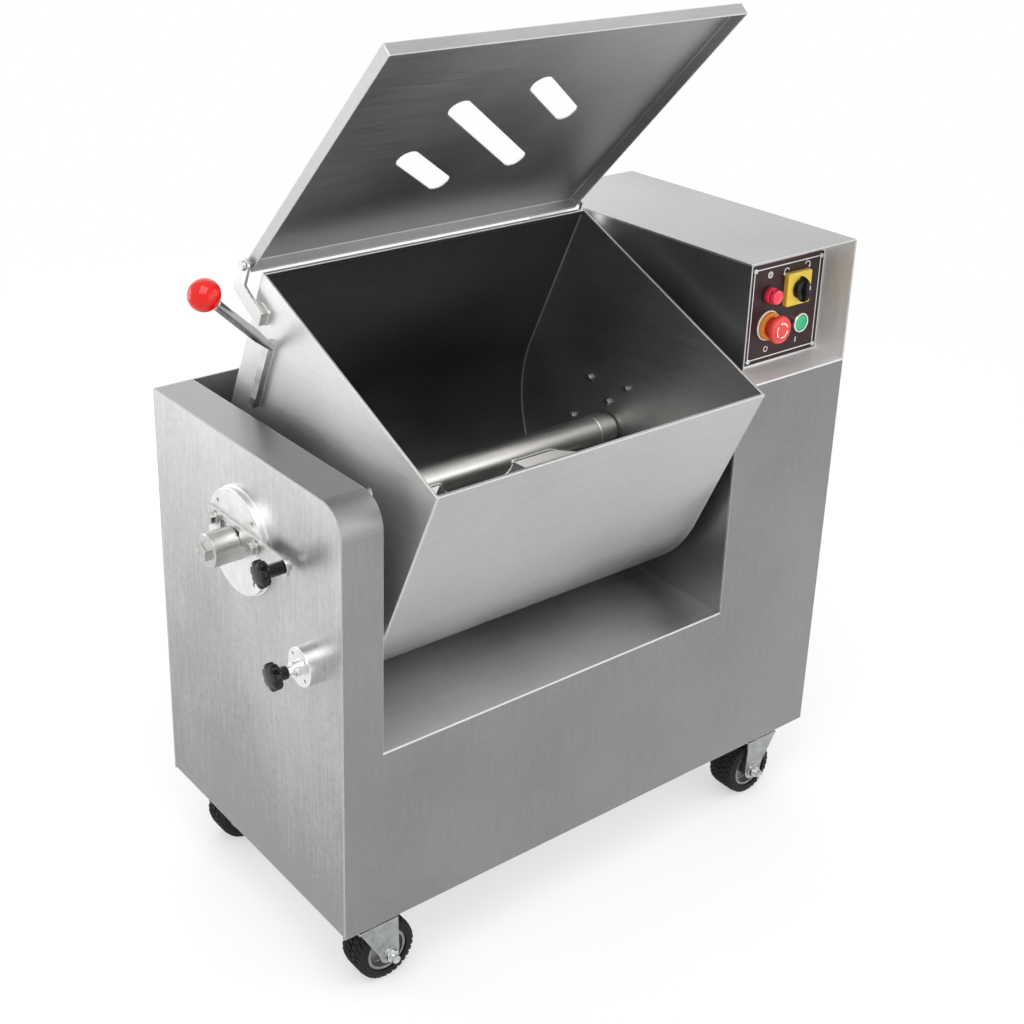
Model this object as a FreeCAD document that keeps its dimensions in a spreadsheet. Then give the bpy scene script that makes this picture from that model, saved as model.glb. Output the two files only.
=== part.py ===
import FreeCAD, Part
import math
import operator
import os
import Sketcher

# Tilting meat mixer on four casters. All sizes are in millimetres and degrees.
# X runs along the mixing shaft towards the drive tower, -Y is the front, Z is up.
# The origin is on the floor, in the middle of the machine's footprint.

Vector = FreeCAD.Vector
doc = FreeCAD.newDocument("MeatMixer")
sheet = doc.addObject("Spreadsheet::Sheet", "Sizes")
size_names = []
cutters = []
sub_parts = []
CALCULATE = {"+": operator.add, "-": operator.sub, "*": operator.mul, "/": operator.truediv}


# Terms: a number together with the sheet formula that it comes from
class Term:
    def __init__(self, number, formula):
        self.number = number
        self.formula = formula

    def __add__(self, other):
        return combine(self, "+", other)

    def __radd__(self, other):
        return combine(other, "+", self)

    def __sub__(self, other):
        return combine(self, "-", other)

    def __rsub__(self, other):
        return combine(other, "-", self)

    def __mul__(self, other):
        return combine(self, "*", other)

    def __rmul__(self, other):
        return combine(other, "*", self)

    def __truediv__(self, other):
        return combine(self, "/", other)

    def __neg__(self):
        return combine(0, "-", self)


def term(value):
    if isinstance(value, Term):
        return value
    return Term(float(value), f"{value:.6f}" if value >= 0 else f"(0 - {-value:.6f})")


def combine(first, sign, second):
    first = term(first)
    second = term(second)
    number = CALCULATE[sign](first.number, second.number)
    return Term(number, f"({first.formula} {sign} {second.formula})")


def cosine(angle):
    return Term(math.cos(math.radians(angle.number)), f"cos({angle.formula})")


def sine(angle):
    return Term(math.sin(math.radians(angle.number)), f"sin({angle.formula})")


def tangent(angle):
    return Term(math.tan(math.radians(angle.number)), f"tan({angle.formula})")


def root(value):
    return Term(math.sqrt(value.number), f"sqrt({value.formula})")


def size(name, value):
    size_names.append(name)
    row = len(size_names)
    sheet.set(f"A{row}", name)
    sheet.set(f"B{row}", str(value))
    sheet.setAlias(f"B{row}", name)
    return Term(float(value), f"Sizes.{name}")


def bind(item, path, value):
    item.setExpression(path, term(value).formula)


# Cabinet
cabinet_length = size("cabinet_length", 850)
cabinet_depth = size("cabinet_depth", 450)
sheet_wall = size("sheet_wall", 2)
base_wall = size("base_wall", 3)
pedestal_width = size("pedestal_width", 58)
pedestal_height = size("pedestal_height", 600)
pedestal_round = size("pedestal_round", 40)
tower_width = size("tower_width", 208)
niche_height = size("niche_height", 175)
niche_depth = size("niche_depth", 51)
tray_gap = size("tray_gap", 12.5)
hole_clearance = size("hole_clearance", 0.3)
running_clearance = size("running_clearance", 0.05)
seat_gap = size("seat_gap", 0.3)

# Service cover on the back of the tower
cover_width = size("cover_width", 170)
cover_height = size("cover_height", 460)
cover_low = size("cover_low", 70)
cover_lap = size("cover_lap", 15)
louvre_width = size("louvre_width", 90)
louvre_height = size("louvre_height", 5)
louvre_pitch = size("louvre_pitch", 16)
louvre_low = size("louvre_low", 60)

# Casters
caster_height = size("caster_height", 118)
caster_inset_x = size("caster_inset_x", 58)
caster_inset_y = size("caster_inset_y", 45)
caster_trail = size("caster_trail", 23)
caster_plate_length = size("caster_plate_length", 90)
caster_plate_width = size("caster_plate_width", 76)
caster_plate_wall = size("caster_plate_wall", 4)
wheel_radius = size("wheel_radius", 44)
tyre_width = size("tyre_width", 46)
tyre_round = size("tyre_round", 7)
rim_radius = size("rim_radius", 30)
rim_width = size("rim_width", 41)
hub_radius = size("hub_radius", 13)
web_width = size("web_width", 14)
wheel_axle_radius = size("wheel_axle_radius", 5)
fork_wall = size("fork_wall", 3)
fork_gap = size("fork_gap", 2)
fork_end_radius = size("fork_end_radius", 15)
fork_top_length = size("fork_top_length", 60)
fork_top_shift = size("fork_top_shift", 6)
fork_crown = size("fork_crown", 17)
fork_nut_height = size("fork_nut_height", 8)
fork_stub_length = size("fork_stub_length", 7)
fork_head_height = size("fork_head_height", 5)
race_radius = size("race_radius", 25)
kingpin_radius = size("kingpin_radius", 6)
kingpin_head = size("kingpin_head", 10)

# Tilt axis and bowl
axle_drop = size("axle_drop", 127.5)
axle_forward = size("axle_forward", 4)
bowl_tilt = size("bowl_tilt", 24.1)
bowl_radius = size("bowl_radius", 201)
rim_height = size("rim_height", 252)
bowl_wall = size("bowl_wall", 2)
hem_width = size("hem_width", 4)
hem_height = size("hem_height", 6)
end_wall = size("end_wall", 3)
bowl_side_gap = size("bowl_side_gap", 26.5)

# Trunnions, their bushes and the two bearing housings
trunnion_radius = size("trunnion_radius", 30)
trunnion_bore = size("trunnion_bore", 20)
trunnion_flange_radius = size("trunnion_flange_radius", 92)
trunnion_flange_wall = size("trunnion_flange_wall", 8)
trunnion_length = size("trunnion_length", 87)
trunnion_bolt_circle = size("trunnion_bolt_circle", 79)
seal_bolt_circle = size("seal_bolt_circle", 40)
bolt_head_radius = size("bolt_head_radius", 6)
bolt_head_height = size("bolt_head_height", 4)
bush_wall = size("bush_wall", 5)
bush_length = size("bush_length", 54)
housing_wall = size("housing_wall", 7)
housing_flange_radius = size("housing_flange_radius", 70)
housing_flange_wall = size("housing_flange_wall", 8)
backing_ring_lip = size("backing_ring_lip", 2)
backing_ring_wall = size("backing_ring_wall", 4)
flange_hole_circle = size("flange_hole_circle", 59)
flange_hole_radius = size("flange_hole_radius", 3.2)
edge_break = size("edge_break", 0.8)

# Stub shaft on the left and its keeper
stub_boss_radius = size("stub_boss_radius", 22.5)
stub_boss_length = size("stub_boss_length", 42)
stub_journal_radius = size("stub_journal_radius", 15)
stub_reach = size("stub_reach", 40)
stub_bolt_radius = size("stub_bolt_radius", 13.5)
stub_bolt_height = size("stub_bolt_height", 8)
keeper_wall = size("keeper_wall", 4)
keeper_half_height = size("keeper_half_height", 12)
keeper_rise = size("keeper_rise", 18)
keeper_back = size("keeper_back", 60)
keeper_front = size("keeper_front", 117)
keeper_travel = size("keeper_travel", 7)
keeper_hold = size("keeper_hold", 6)
keeper_bolt_back = size("keeper_bolt_back", 44)
keeper_bolt_front = size("keeper_bolt_front", 56)
keeper_bolt_radius = size("keeper_bolt_radius", 4)
keeper_bolt_head_radius = size("keeper_bolt_head_radius", 8.5)
keeper_bolt_head_height = size("keeper_bolt_head_height", 7)
keeper_washer_wall = size("keeper_washer_wall", 2)
keeper_washer_radius = size("keeper_washer_radius", 9.5)
keeper_nut_radius = size("keeper_nut_radius", 7.5)
keeper_nut_height = size("keeper_nut_height", 6)

# Star knobs
knob_radius = size("knob_radius", 17.5)
knob_lobe_radius = size("knob_lobe_radius", 5)
knob_lobes = 7
knob_thickness = size("knob_thickness", 12.5)
knob_neck_radius = size("knob_neck_radius", 9)
keeper_neck_length = size("keeper_neck_length", 21)
plunger_neck_length = size("plunger_neck_length", 11)
knob_dome = size("knob_dome", 2)

# Index plunger
plunger_inset = size("plunger_inset", 16)
plunger_angle = size("plunger_angle", 212)
plunger_flange_radius = size("plunger_flange_radius", 25.5)
plunger_flange_wall = size("plunger_flange_wall", 20)
plunger_boss_radius = size("plunger_boss_radius", 10)
plunger_boss_length = size("plunger_boss_length", 11)
plunger_barrel_radius = size("plunger_barrel_radius", 14)
plunger_pin_radius = size("plunger_pin_radius", 6)
plunger_travel = size("plunger_travel", 6)
plunger_tip_gap = size("plunger_tip_gap", 1)
plunger_hole_circle = size("plunger_hole_circle", 18.5)
bowl_swing_back = size("bowl_swing_back", 24.1)
bowl_swing_forward = size("bowl_swing_forward", 66)

# Lid and its hinge
hinge_reach = size("hinge_reach", 25)
hinge_drop = size("hinge_drop", 6)
lid_open = size("lid_open", 70.6)
lid_wall = size("lid_wall", 1.5)
lid_edge = size("lid_edge", 15)
lid_side_gap = size("lid_side_gap", 1.5)
lid_rim_gap = size("lid_rim_gap", 0.5)
slot_width = size("slot_width", 30)
slot_angle = size("slot_angle", 40.2)
slot_long = size("slot_long", 250)
slot_short = size("slot_short", 142)
slot_spacing = size("slot_spacing", 91.5)
slot_stagger = size("slot_stagger", 12)
slot_shift = size("slot_shift", 5)
hinge_pin_radius = size("hinge_pin_radius", 4)
hinge_pin_head = size("hinge_pin_head", 7)
strap_width = size("strap_width", 20)
strap_wall = size("strap_wall", 4)
strap_stand_off = size("strap_stand_off", 8)
strap_foot_forward = size("strap_foot_forward", 48)
strap_foot_drop = size("strap_foot_drop", 42)
strap_elbow_drop = size("strap_elbow_drop", 45)

# Tilt lever on the left end of the bowl
lever_bar_width = size("lever_bar_width", 12)
lever_bar_wall = size("lever_bar_wall", 10)
lever_bar_length = size("lever_bar_length", 108)
lever_bar_inset = size("lever_bar_inset", 55)
lever_inset = size("lever_inset", 60)
lever_up = size("lever_up", 184)
lever_seat = size("lever_seat", 4)
lever_lean_angle = size("lever_lean_angle", 44.6)
lever_rod_radius = size("lever_rod_radius", 7)
lever_rod_length = size("lever_rod_length", 144)
lever_ball_radius = size("lever_ball_radius", 19.5)

# Mixing shaft and paddles
shaft_radius = size("shaft_radius", 25)
shaft_wall = size("shaft_wall", 4)
shaft_end_gap = size("shaft_end_gap", 3)
shaft_hub_length = size("shaft_hub_length", 42)
shaft_collar_lip = size("shaft_collar_lip", 1)
shaft_collar_length = size("shaft_collar_length", 20)
drive_end_gap = size("drive_end_gap", 14)
drive_radius = size("drive_radius", 17.5)
drive_engagement = size("drive_engagement", 42)
drive_collar_radius = size("drive_collar_radius", 23)
paddle_wall = size("paddle_wall", 5)
paddle_tip_gap = size("paddle_tip_gap", 12)
paddle_angle = size("paddle_angle", 136)
paddle_offset = size("paddle_offset", 22.5)
paddle_root = size("paddle_root", 61)
paddle_step = size("paddle_step", 9)
paddle_lap = size("paddle_lap", 10)
paddle_end_gap = size("paddle_end_gap", 20)
paddle_rise_angle = size("paddle_rise_angle", 19)
paddle_spine_angle = size("paddle_spine_angle", 42)
paddle_fold_angle = size("paddle_fold_angle", 38)
paddle_back_width = size("paddle_back_width", 46)

# Drive
gearbox_length = size("gearbox_length", 116)
gearbox_half_depth = size("gearbox_half_depth", 72)
gearbox_half_height = size("gearbox_half_height", 84)
gearbox_round = size("gearbox_round", 14)
gearbox_cover_radius = size("gearbox_cover_radius", 58)
gearbox_cover_wall = size("gearbox_cover_wall", 6)
motor_radius = size("motor_radius", 68)
motor_flange_radius = size("motor_flange_radius", 80)
motor_flange_wall = size("motor_flange_wall", 12)
motor_length = size("motor_length", 250)
motor_cowl_length = size("motor_cowl_length", 52)
motor_rib_depth = size("motor_rib_depth", 6)
motor_rib_wall = size("motor_rib_wall", 3)
motor_ribs = 20
motor_box_sink = size("motor_box_sink", 8)
motor_box_reach = size("motor_box_reach", 22)

# Control panel
control_width = size("control_width", 146)
control_above = size("control_above", 25)
control_edge = size("control_edge", 4)
control_wall = size("control_wall", 2)
lamp_left = size("lamp_left", 35)
lamp_up = size("lamp_up", 27)
lamp_radius = size("lamp_radius", 11)
lamp_reach = size("lamp_reach", 22)
selector_right = size("selector_right", 19)
selector_up = size("selector_up", 28)
selector_plate_side = size("selector_plate_side", 48)
selector_plate_wall = size("selector_plate_wall", 8)
selector_radius = size("selector_radius", 14)
selector_reach = size("selector_reach", 9)
selector_grip_length = size("selector_grip_length", 40)
selector_grip_width = size("selector_grip_width", 9)
selector_grip_height = size("selector_grip_height", 9)
stop_left = size("stop_left", 31)
stop_down = size("stop_down", 19)
stop_collar_radius = size("stop_collar_radius", 21)
stop_collar_wall = size("stop_collar_wall", 8)
stop_head_radius = size("stop_head_radius", 20)
stop_head_wall = size("stop_head_wall", 14)
stop_stem_radius = size("stop_stem_radius", 13)
stop_travel = size("stop_travel", 4)
start_right = size("start_right", 30)
start_down = size("start_down", 25)
start_bezel_radius = size("start_bezel_radius", 14.5)
start_cap_radius = size("start_cap_radius", 11)
start_reach = size("start_reach", 9)
start_travel = size("start_travel", 4)
button_clearance = size("button_clearance", 0.3)
gland_radius = size("gland_radius", 13)
gland_bore = size("gland_bore", 5)
gland_length = size("gland_length", 24)
gland_height = size("gland_height", 40)

# Places worked out from the sizes, measured from the middle of the cabinet's underside
left_face = -cabinet_length / 2
right_face = cabinet_length / 2
front_face = -cabinet_depth / 2
back_face = cabinet_depth / 2
recess_left = left_face + pedestal_width
recess_right = right_face - tower_width
recess_middle = (recess_left + recess_right) / 2
bowl_left = recess_left + bowl_side_gap
bowl_right = recess_right - bowl_side_gap
inside_left = bowl_left + end_wall
inside_right = bowl_right - end_wall
trunnion_left_end = bowl_left - trunnion_length
trunnion_right_end = bowl_right + trunnion_length
bush_radius = trunnion_radius + running_clearance
housing_bore = bush_radius + bush_wall
housing_radius = housing_bore + housing_wall
flange_back = left_face - backing_ring_wall
flange_front = flange_back - housing_flange_wall
boss_end = flange_front - stub_boss_length
keeper_near = flange_front - seat_gap
keeper_far = keeper_near - keeper_wall
stub_tip = inside_left + shaft_end_gap + stub_reach
shaft_left = inside_left + shaft_end_gap
shaft_right = inside_right - drive_end_gap
right_housing_end = recess_right + sheet_wall + bush_length + housing_flange_wall
gearbox_end = right_housing_end + gearbox_length
gearbox_middle = right_housing_end + gearbox_length / 2
shelf_height = pedestal_height
tower_height = shelf_height + niche_height
axle_height = pedestal_height - axle_drop
tray_height = axle_height - bowl_radius - bowl_wall - tray_gap
axle_depth = -axle_forward
plunger_radius = bowl_radius - plunger_inset
hinge_back = bowl_radius + hinge_reach
lever_bar_back = bowl_radius - lever_bar_inset
lever_back = bowl_radius - lever_inset
plunger_depth = axle_depth + plunger_radius * cosine(plunger_angle)
plunger_height = axle_height + plunger_radius * sine(plunger_angle)
niche_face = front_face + niche_depth
control_face = niche_face - control_wall
control_middle = right_face - sheet_wall - control_edge - control_width / 2
control_height = niche_height - sheet_wall - control_edge - control_above
control_centre = shelf_height + control_edge + control_height / 2

# Hinge line in the bowl's frame, then in the cabinet's
hinge_up = rim_height - hinge_drop
hinge_depth = axle_depth + hinge_back * cosine(bowl_tilt) - hinge_up * sine(bowl_tilt)
hinge_height = axle_height + hinge_back * sine(bowl_tilt) + hinge_up * cosine(bowl_tilt)

# The footprint: the plunger's knob stands out furthest on the left, the bowl's front rim at the front
plunger_face = left_face - plunger_flange_wall
plunger_boss_end = plunger_face - plunger_boss_length
plunger_start = plunger_boss_end - seat_gap - plunger_travel
plunger_tip = bowl_left - plunger_tip_gap
reach_left = knob_thickness + knob_dome + plunger_neck_length - plunger_start
reach_front = axle_forward + bowl_radius * cosine(bowl_tilt) + rim_height * sine(bowl_tilt)
reach_back = back_face + gland_length * 2 / 3
middle_x = (reach_left - right_face) / 2
middle_y = (reach_front - reach_back) / 2


# Frames: where a group of pieces sits, and by how much it is turned about X
class Frame:
    def __init__(self, x, y, z, turn):
        self.x = x
        self.y = y
        self.z = z
        self.turn = turn


cabinet_frame = Frame(middle_x, middle_y, caster_height, None)
axle_frame = Frame(middle_x, middle_y + axle_depth, caster_height + axle_height, None)
bowl_frame = Frame(middle_x, middle_y + axle_depth, caster_height + axle_height, bowl_tilt)
lid_frame = Frame(middle_x, middle_y + hinge_depth, caster_height + hinge_height, bowl_tilt - lid_open)


def place(item, frame, axis=(1, 0, 0), angle=None):
    angle = frame.turn if angle is None else angle
    if angle is not None:
        item.Placement = FreeCAD.Placement(Vector(), FreeCAD.Rotation(Vector(*axis), 30))
        bind(item, "Placement.Rotation.Angle", angle)
    bind(item, "Placement.Base.x", frame.x)
    bind(item, "Placement.Base.y", frame.y)
    bind(item, "Placement.Base.z", frame.z)


def finish(item, label, frame, axis=(1, 0, 0), angle=None):
    place(item, frame, axis, angle)
    item.Label = label
    sub_parts.append(item)
    return item


# Sketches: an outline is a list of corners, with ("arc", radius, side) between two of them
PLANES = {"XY": "XY_Plane", "XZ": "XZ_Plane", "YZ": "YZ_Plane"}


def new_body(name):
    return doc.addObject("PartDesign::Body", f"{name}_body")


def new_sketch(body, name, plane, level):
    sketch = body.newObject("Sketcher::SketchObject", name)
    base = [entry for entry in body.Origin.OriginFeatures if entry.Role == PLANES[plane]][0]
    sketch.AttachmentSupport = [(base, "")]
    sketch.MapMode = "FlatFace"
    bind(sketch, "AttachmentOffset.Base.z", level)
    return sketch


def arc_between(start, end, radius, side):
    chord = end - start
    middle = (start + end) / 2
    rise = math.sqrt(max(radius * radius - chord.Length * chord.Length / 4, 0))
    across = Vector(-chord.y, chord.x, 0)
    across.normalize()
    centre = middle + across * (rise * side)
    outward = middle - centre
    if outward.Length < 1e-9:
        outward = across * -side
    outward.normalize()
    return Part.Arc(start, centre + outward * radius, end)


def draw_outline(sketch, outline):
    corners = []
    bends = []
    for entry in outline:
        if entry[0] == "arc":
            bends[-1] = entry
        else:
            corners.append((term(entry[0]), term(entry[1])))
            bends.append(None)
    points = [Vector(u.number, v.number, 0) for u, v in corners]
    first = sketch.GeometryCount
    rules = []
    count = len(points)
    for number in range(count):
        start = points[number]
        end = points[(number + 1) % count]
        if bends[number] is None:
            edge = Part.LineSegment(start, end)
        else:
            edge = arc_between(start, end, term(bends[number][1]).number, bends[number][2])
        sketch.addGeometry(edge, False)
    ends = []
    for number in range(count):
        near = (sketch.getPoint(first + number, 1) - points[number]).Length
        far = (sketch.getPoint(first + number, 2) - points[number]).Length
        ends.append((1, 2) if near <= far else (2, 1))
    for number in range(count):
        after = (number + 1) % count
        joined = Sketcher.Constraint("Coincident", first + number, ends[number][1], first + after, ends[after][0])
        sketch.addConstraint(joined)
    for number, (u, v) in enumerate(corners):
        for kind, value in (("DistanceX", u), ("DistanceY", v)):
            rule = Sketcher.Constraint(kind, -1, 1, first + number, ends[number][0], value.number)
            rules.append((sketch.addConstraint(rule), value))
        if bends[number] is not None:
            radius = term(bends[number][1])
            rule = Sketcher.Constraint("Radius", first + number, radius.number)
            rules.append((sketch.addConstraint(rule), radius))
    return rules


def draw_circle(sketch, u, v, radius):
    u = term(u)
    v = term(v)
    radius = term(radius)
    circle = Part.Circle(Vector(u.number, v.number, 0), Vector(0, 0, 1), radius.number)
    number = sketch.addGeometry(circle, False)
    rules = []
    for kind, value in (("DistanceX", u), ("DistanceY", v)):
        rule = Sketcher.Constraint(kind, -1, 1, number, 3, value.number)
        rules.append((sketch.addConstraint(rule), value))
    rule = Sketcher.Constraint("Radius", number, radius.number)
    rules.append((sketch.addConstraint(rule), radius))
    return rules


def draw(sketch, shapes):
    rules = []
    for shape in shapes:
        if shape[0] == "circle":
            rules.extend(draw_circle(sketch, *shape[1:]))
        else:
            rules.extend(draw_outline(sketch, shape))
    for number, value in rules:
        bind(sketch, f"Constraints[{number}]", value)


# Features: low and high are measured along the plane's own row axis
def pad(body, name, plane, low, high, *shapes):
    level = -term(high) if plane == "XZ" else term(low)
    sketch = new_sketch(body, f"{name}_sketch", plane, level)
    draw(sketch, shapes)
    feature = body.newObject("PartDesign::Pad", name)
    feature.Profile = sketch
    bind(feature, "Length", term(high) - term(low))
    body.Tip = feature
    return feature


def pocket(body, name, plane, low, high, *shapes):
    level = -term(high) if plane == "XZ" else term(low)
    sketch = new_sketch(body, f"{name}_sketch", plane, level)
    draw(sketch, shapes)
    feature = body.newObject("PartDesign::Pocket", name)
    feature.Profile = sketch
    feature.Reversed = True
    bind(feature, "Length", term(high) - term(low))
    body.Tip = feature
    cutters.append(feature)
    return feature


def turn(body, name, outline, cut=False):
    sketch = new_sketch(body, f"{name}_sketch", "XY", 0)
    draw(sketch, [outline])
    kind = "PartDesign::Groove" if cut else "PartDesign::Revolution"
    feature = body.newObject(kind, name)
    feature.Profile = sketch
    feature.ReferenceAxis = (sketch, ["H_Axis"])
    feature.Angle = 360
    body.Tip = feature
    if cut:
        cutters.append(feature)
    return feature


def soften(body, name, kind, amount, chooser):
    doc.recompute()
    base = body.Tip
    edges = [f"Edge{number + 1}" for number, edge in enumerate(base.Shape.Edges) if chooser(edge)]
    if not edges:
        raise RuntimeError(f"{name}: no edge was chosen")
    feature = body.newObject(f"PartDesign::{kind}", name)
    feature.Base = (base, edges)
    bind(feature, "Radius" if kind == "Fillet" else "Size", amount)
    body.Tip = feature
    return feature


def polar_copies(body, name, feature, axis_role, count):
    pattern = body.newObject("PartDesign::PolarPattern", name)
    pattern.Originals = [feature]
    axis = [entry for entry in body.Origin.OriginFeatures if entry.Role == axis_role][0]
    pattern.Axis = (axis, [""])
    pattern.Angle = 360
    pattern.Occurrences = count
    body.Tip = pattern
    cutters.append(pattern)
    return pattern


def rectangle(left, right, low, high):
    return [(left, low), (right, low), (right, high), (left, high)]


def hexagon(u, v, radius):
    corners = []
    for step in range(6):
        angle = math.radians(60 * step + 30)
        corners.append((u + radius * math.cos(angle), v + radius * math.sin(angle)))
    return corners


def rounded_slot(u, v, length, width, angle):
    along = (length - width) / 2
    across = width / 2
    c = cosine(angle)
    s = sine(angle)
    far_u = u + along * c
    far_v = v + along * s
    near_u = u - along * c
    near_v = v - along * s
    return [
        (near_u + across * s, near_v - across * c),
        (far_u + across * s, far_v - across * c),
        ("arc", across, 1),
        (far_u + across * c, far_v + across * s),
        ("arc", across, 1),
        (far_u - across * s, far_v + across * c),
        (near_u - across * s, near_v + across * c),
        ("arc", across, 1),
        (near_u - across * c, near_v - across * s),
        ("arc", across, 1),
    ]


def has_axis(edge, direction):
    if not isinstance(edge.Curve, Part.Line):
        return False
    return abs(abs(edge.Curve.Direction.dot(Vector(*direction))) - 1) < 1e-6


def group_of(name, items):
    group = doc.addObject("Part::Compound", name)
    group.Links = items
    return group


# Cabinet shells
def build_base_plate():
    body = new_body("base_plate")
    inner = sheet_wall
    outline = rectangle(left_face + inner, right_face - inner, front_face + inner, back_face - inner)
    pad(body, "base_sheet", "XY", 0, base_wall, outline)
    finish(body, "base_plate", cabinet_frame)


def build_front_wrap():
    body = new_body("front_wrap")
    wall = sheet_wall
    start = pedestal_height - pedestal_round
    bend = front_face + pedestal_round
    front = [
        (left_face, 0),
        (right_face, 0),
        (right_face, shelf_height - wall),
        (recess_right, shelf_height - wall),
        (recess_right, tray_height - wall),
        (recess_left, tray_height - wall),
        (recess_left, start),
        (left_face, start),
    ]
    pad(body, "front_sheet", "XZ", front_face, front_face + wall, front)
    strip = [
        (front_face, start),
        ("arc", pedestal_round, -1),
        (bend, pedestal_height),
        (back_face - wall, pedestal_height),
        (back_face - wall, pedestal_height - wall),
        (bend, pedestal_height - wall),
        ("arc", pedestal_round - wall, 1),
        (front_face + wall, start),
    ]
    pad(body, "rolled_strip", "YZ", left_face, recess_left, strip)
    finish(body, "front_wrap", cabinet_frame)


def pedestal_outline(low):
    wall = sheet_wall
    return [
        (front_face + wall, low),
        (back_face - wall, low),
        (back_face - wall, pedestal_height - wall),
        (front_face + pedestal_round, pedestal_height - wall),
        ("arc", pedestal_round - wall, 1),
        (front_face + wall, pedestal_height - pedestal_round),
    ]


def build_left_side_panel():
    body = new_body("left_side_panel")
    hub_hole = ("circle", axle_depth, axle_height, housing_radius + hole_clearance)
    plunger_hole = ("circle", plunger_depth, plunger_height, plunger_barrel_radius + hole_clearance)
    outline = pedestal_outline(base_wall)
    pad(body, "side_sheet", "YZ", left_face, left_face + sheet_wall, outline, hub_hole, plunger_hole)
    finish(body, "left_side_panel", cabinet_frame)


def build_recess_liner():
    body = new_body("recess_liner")
    wall = sheet_wall
    floor = rectangle(recess_left - wall, recess_right, front_face + wall, back_face - wall)
    lip = rectangle(recess_left, recess_right, front_face, front_face + wall)
    hub_hole = ("circle", axle_depth, axle_height, housing_radius + hole_clearance)
    plunger_hole = ("circle", plunger_depth, plunger_height, plunger_barrel_radius + hole_clearance)
    pad(body, "tray_floor", "XY", tray_height - wall, tray_height, floor)
    pad(body, "tray_lip", "XY", tray_height - wall, tray_height, lip)
    outline = pedestal_outline(tray_height - wall)
    pad(body, "inner_wall", "YZ", recess_left - wall, recess_left, outline, hub_hole, plunger_hole)
    finish(body, "recess_liner", cabinet_frame)


def build_tower_inner_wall():
    body = new_body("tower_inner_wall")
    wall = sheet_wall
    outline = [
        (front_face + wall, tray_height - wall),
        (back_face - wall, tray_height - wall),
        (back_face - wall, tower_height - wall),
        (front_face, tower_height - wall),
        (front_face, shelf_height - wall),
        (front_face + wall, shelf_height - wall),
    ]
    trunnion_hole = ("circle", axle_depth, axle_height, trunnion_radius + 5 * hole_clearance)
    pad(body, "wall_sheet", "YZ", recess_right, recess_right + wall, outline, trunnion_hole)
    finish(body, "tower_inner_wall", cabinet_frame)


def build_tower_cover():
    body = new_body("tower_cover")
    wall = sheet_wall
    side = [
        (front_face + wall, base_wall),
        (back_face - wall, base_wall),
        (back_face - wall, tower_height - wall),
        (front_face, tower_height - wall),
        (front_face, shelf_height - wall),
        (front_face + wall, shelf_height - wall),
    ]
    roof = rectangle(recess_right, right_face, front_face, back_face)
    pad(body, "right_side", "YZ", right_face - wall, right_face, side)
    pad(body, "roof", "XY", tower_height - wall, tower_height, roof)
    finish(body, "tower_cover", cabinet_frame)


def build_niche_shelf():
    body = new_body("niche_shelf")
    wall = sheet_wall
    left = recess_right + wall
    right = right_face - wall
    shelf = rectangle(left, right, front_face, niche_face + wall)
    back = rectangle(left, right, shelf_height - wall, tower_height - wall)
    pad(body, "shelf", "XY", shelf_height - wall, shelf_height, shelf)
    pad(body, "niche_back", "XZ", niche_face, niche_face + wall, back)
    finish(body, "niche_shelf", cabinet_frame)


def build_rear_panel():
    body = new_body("rear_panel")
    wall = sheet_wall
    middle = right_face - tower_width / 2
    half = cover_width / 2 - cover_lap
    outline = [
        (left_face, 0),
        (right_face, 0),
        (right_face, tower_height - wall),
        (recess_right, tower_height - wall),
        (recess_right, pedestal_height),
        (left_face, pedestal_height),
    ]
    opening = rectangle(middle - half, middle + half, cover_low + cover_lap, cover_low + cover_height - cover_lap)
    gland_hole = ("circle", recess_middle, gland_height, gland_radius * 0.7 + hole_clearance)
    pad(body, "rear_sheet", "XZ", back_face - wall, back_face, outline, opening, gland_hole)
    finish(body, "rear_panel", cabinet_frame)


def build_service_cover():
    body = new_body("service_cover")
    middle = right_face - tower_width / 2
    low = cover_low
    high = cover_low + cover_height
    sheet_outline = rectangle(middle - cover_width / 2, middle + cover_width / 2, low, high)
    pad(body, "cover_sheet", "XZ", back_face, back_face + sheet_wall, sheet_outline)
    slot_low = cover_low + louvre_low
    slot = rounded_slot(middle, slot_low, louvre_width, louvre_height, term(0))
    cut = pocket(body, "louvre", "XZ", back_face, back_face + sheet_wall, slot)
    pattern = body.newObject("PartDesign::LinearPattern", "louvres")
    pattern.Originals = [cut]
    axis = [entry for entry in body.Origin.OriginFeatures if entry.Role == "Z_Axis"][0]
    pattern.Direction = (axis, [""])
    pattern.Occurrences = 8
    bind(pattern, "Length", louvre_pitch * 7)
    body.Tip = pattern
    cutters.append(pattern)
    finish(body, "service_cover", cabinet_frame)


def build_cable_gland():
    body = new_body("cable_gland")
    length = gland_length
    step = gland_length / 3
    bore = gland_bore
    turn(body, "gland_turned", [
        (-step, bore),
        (-step, gland_radius * 0.7),
        (0, gland_radius * 0.7),
        (0, gland_radius),
        (step, gland_radius),
        (length - step, gland_radius * 0.75),
        (length - step, bore),
    ])
    frame = Frame(middle_x + recess_middle, middle_y + back_face, caster_height + gland_height, None)
    finish(body, "cable_gland", frame, (0, 0, 1), term(90))


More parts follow.
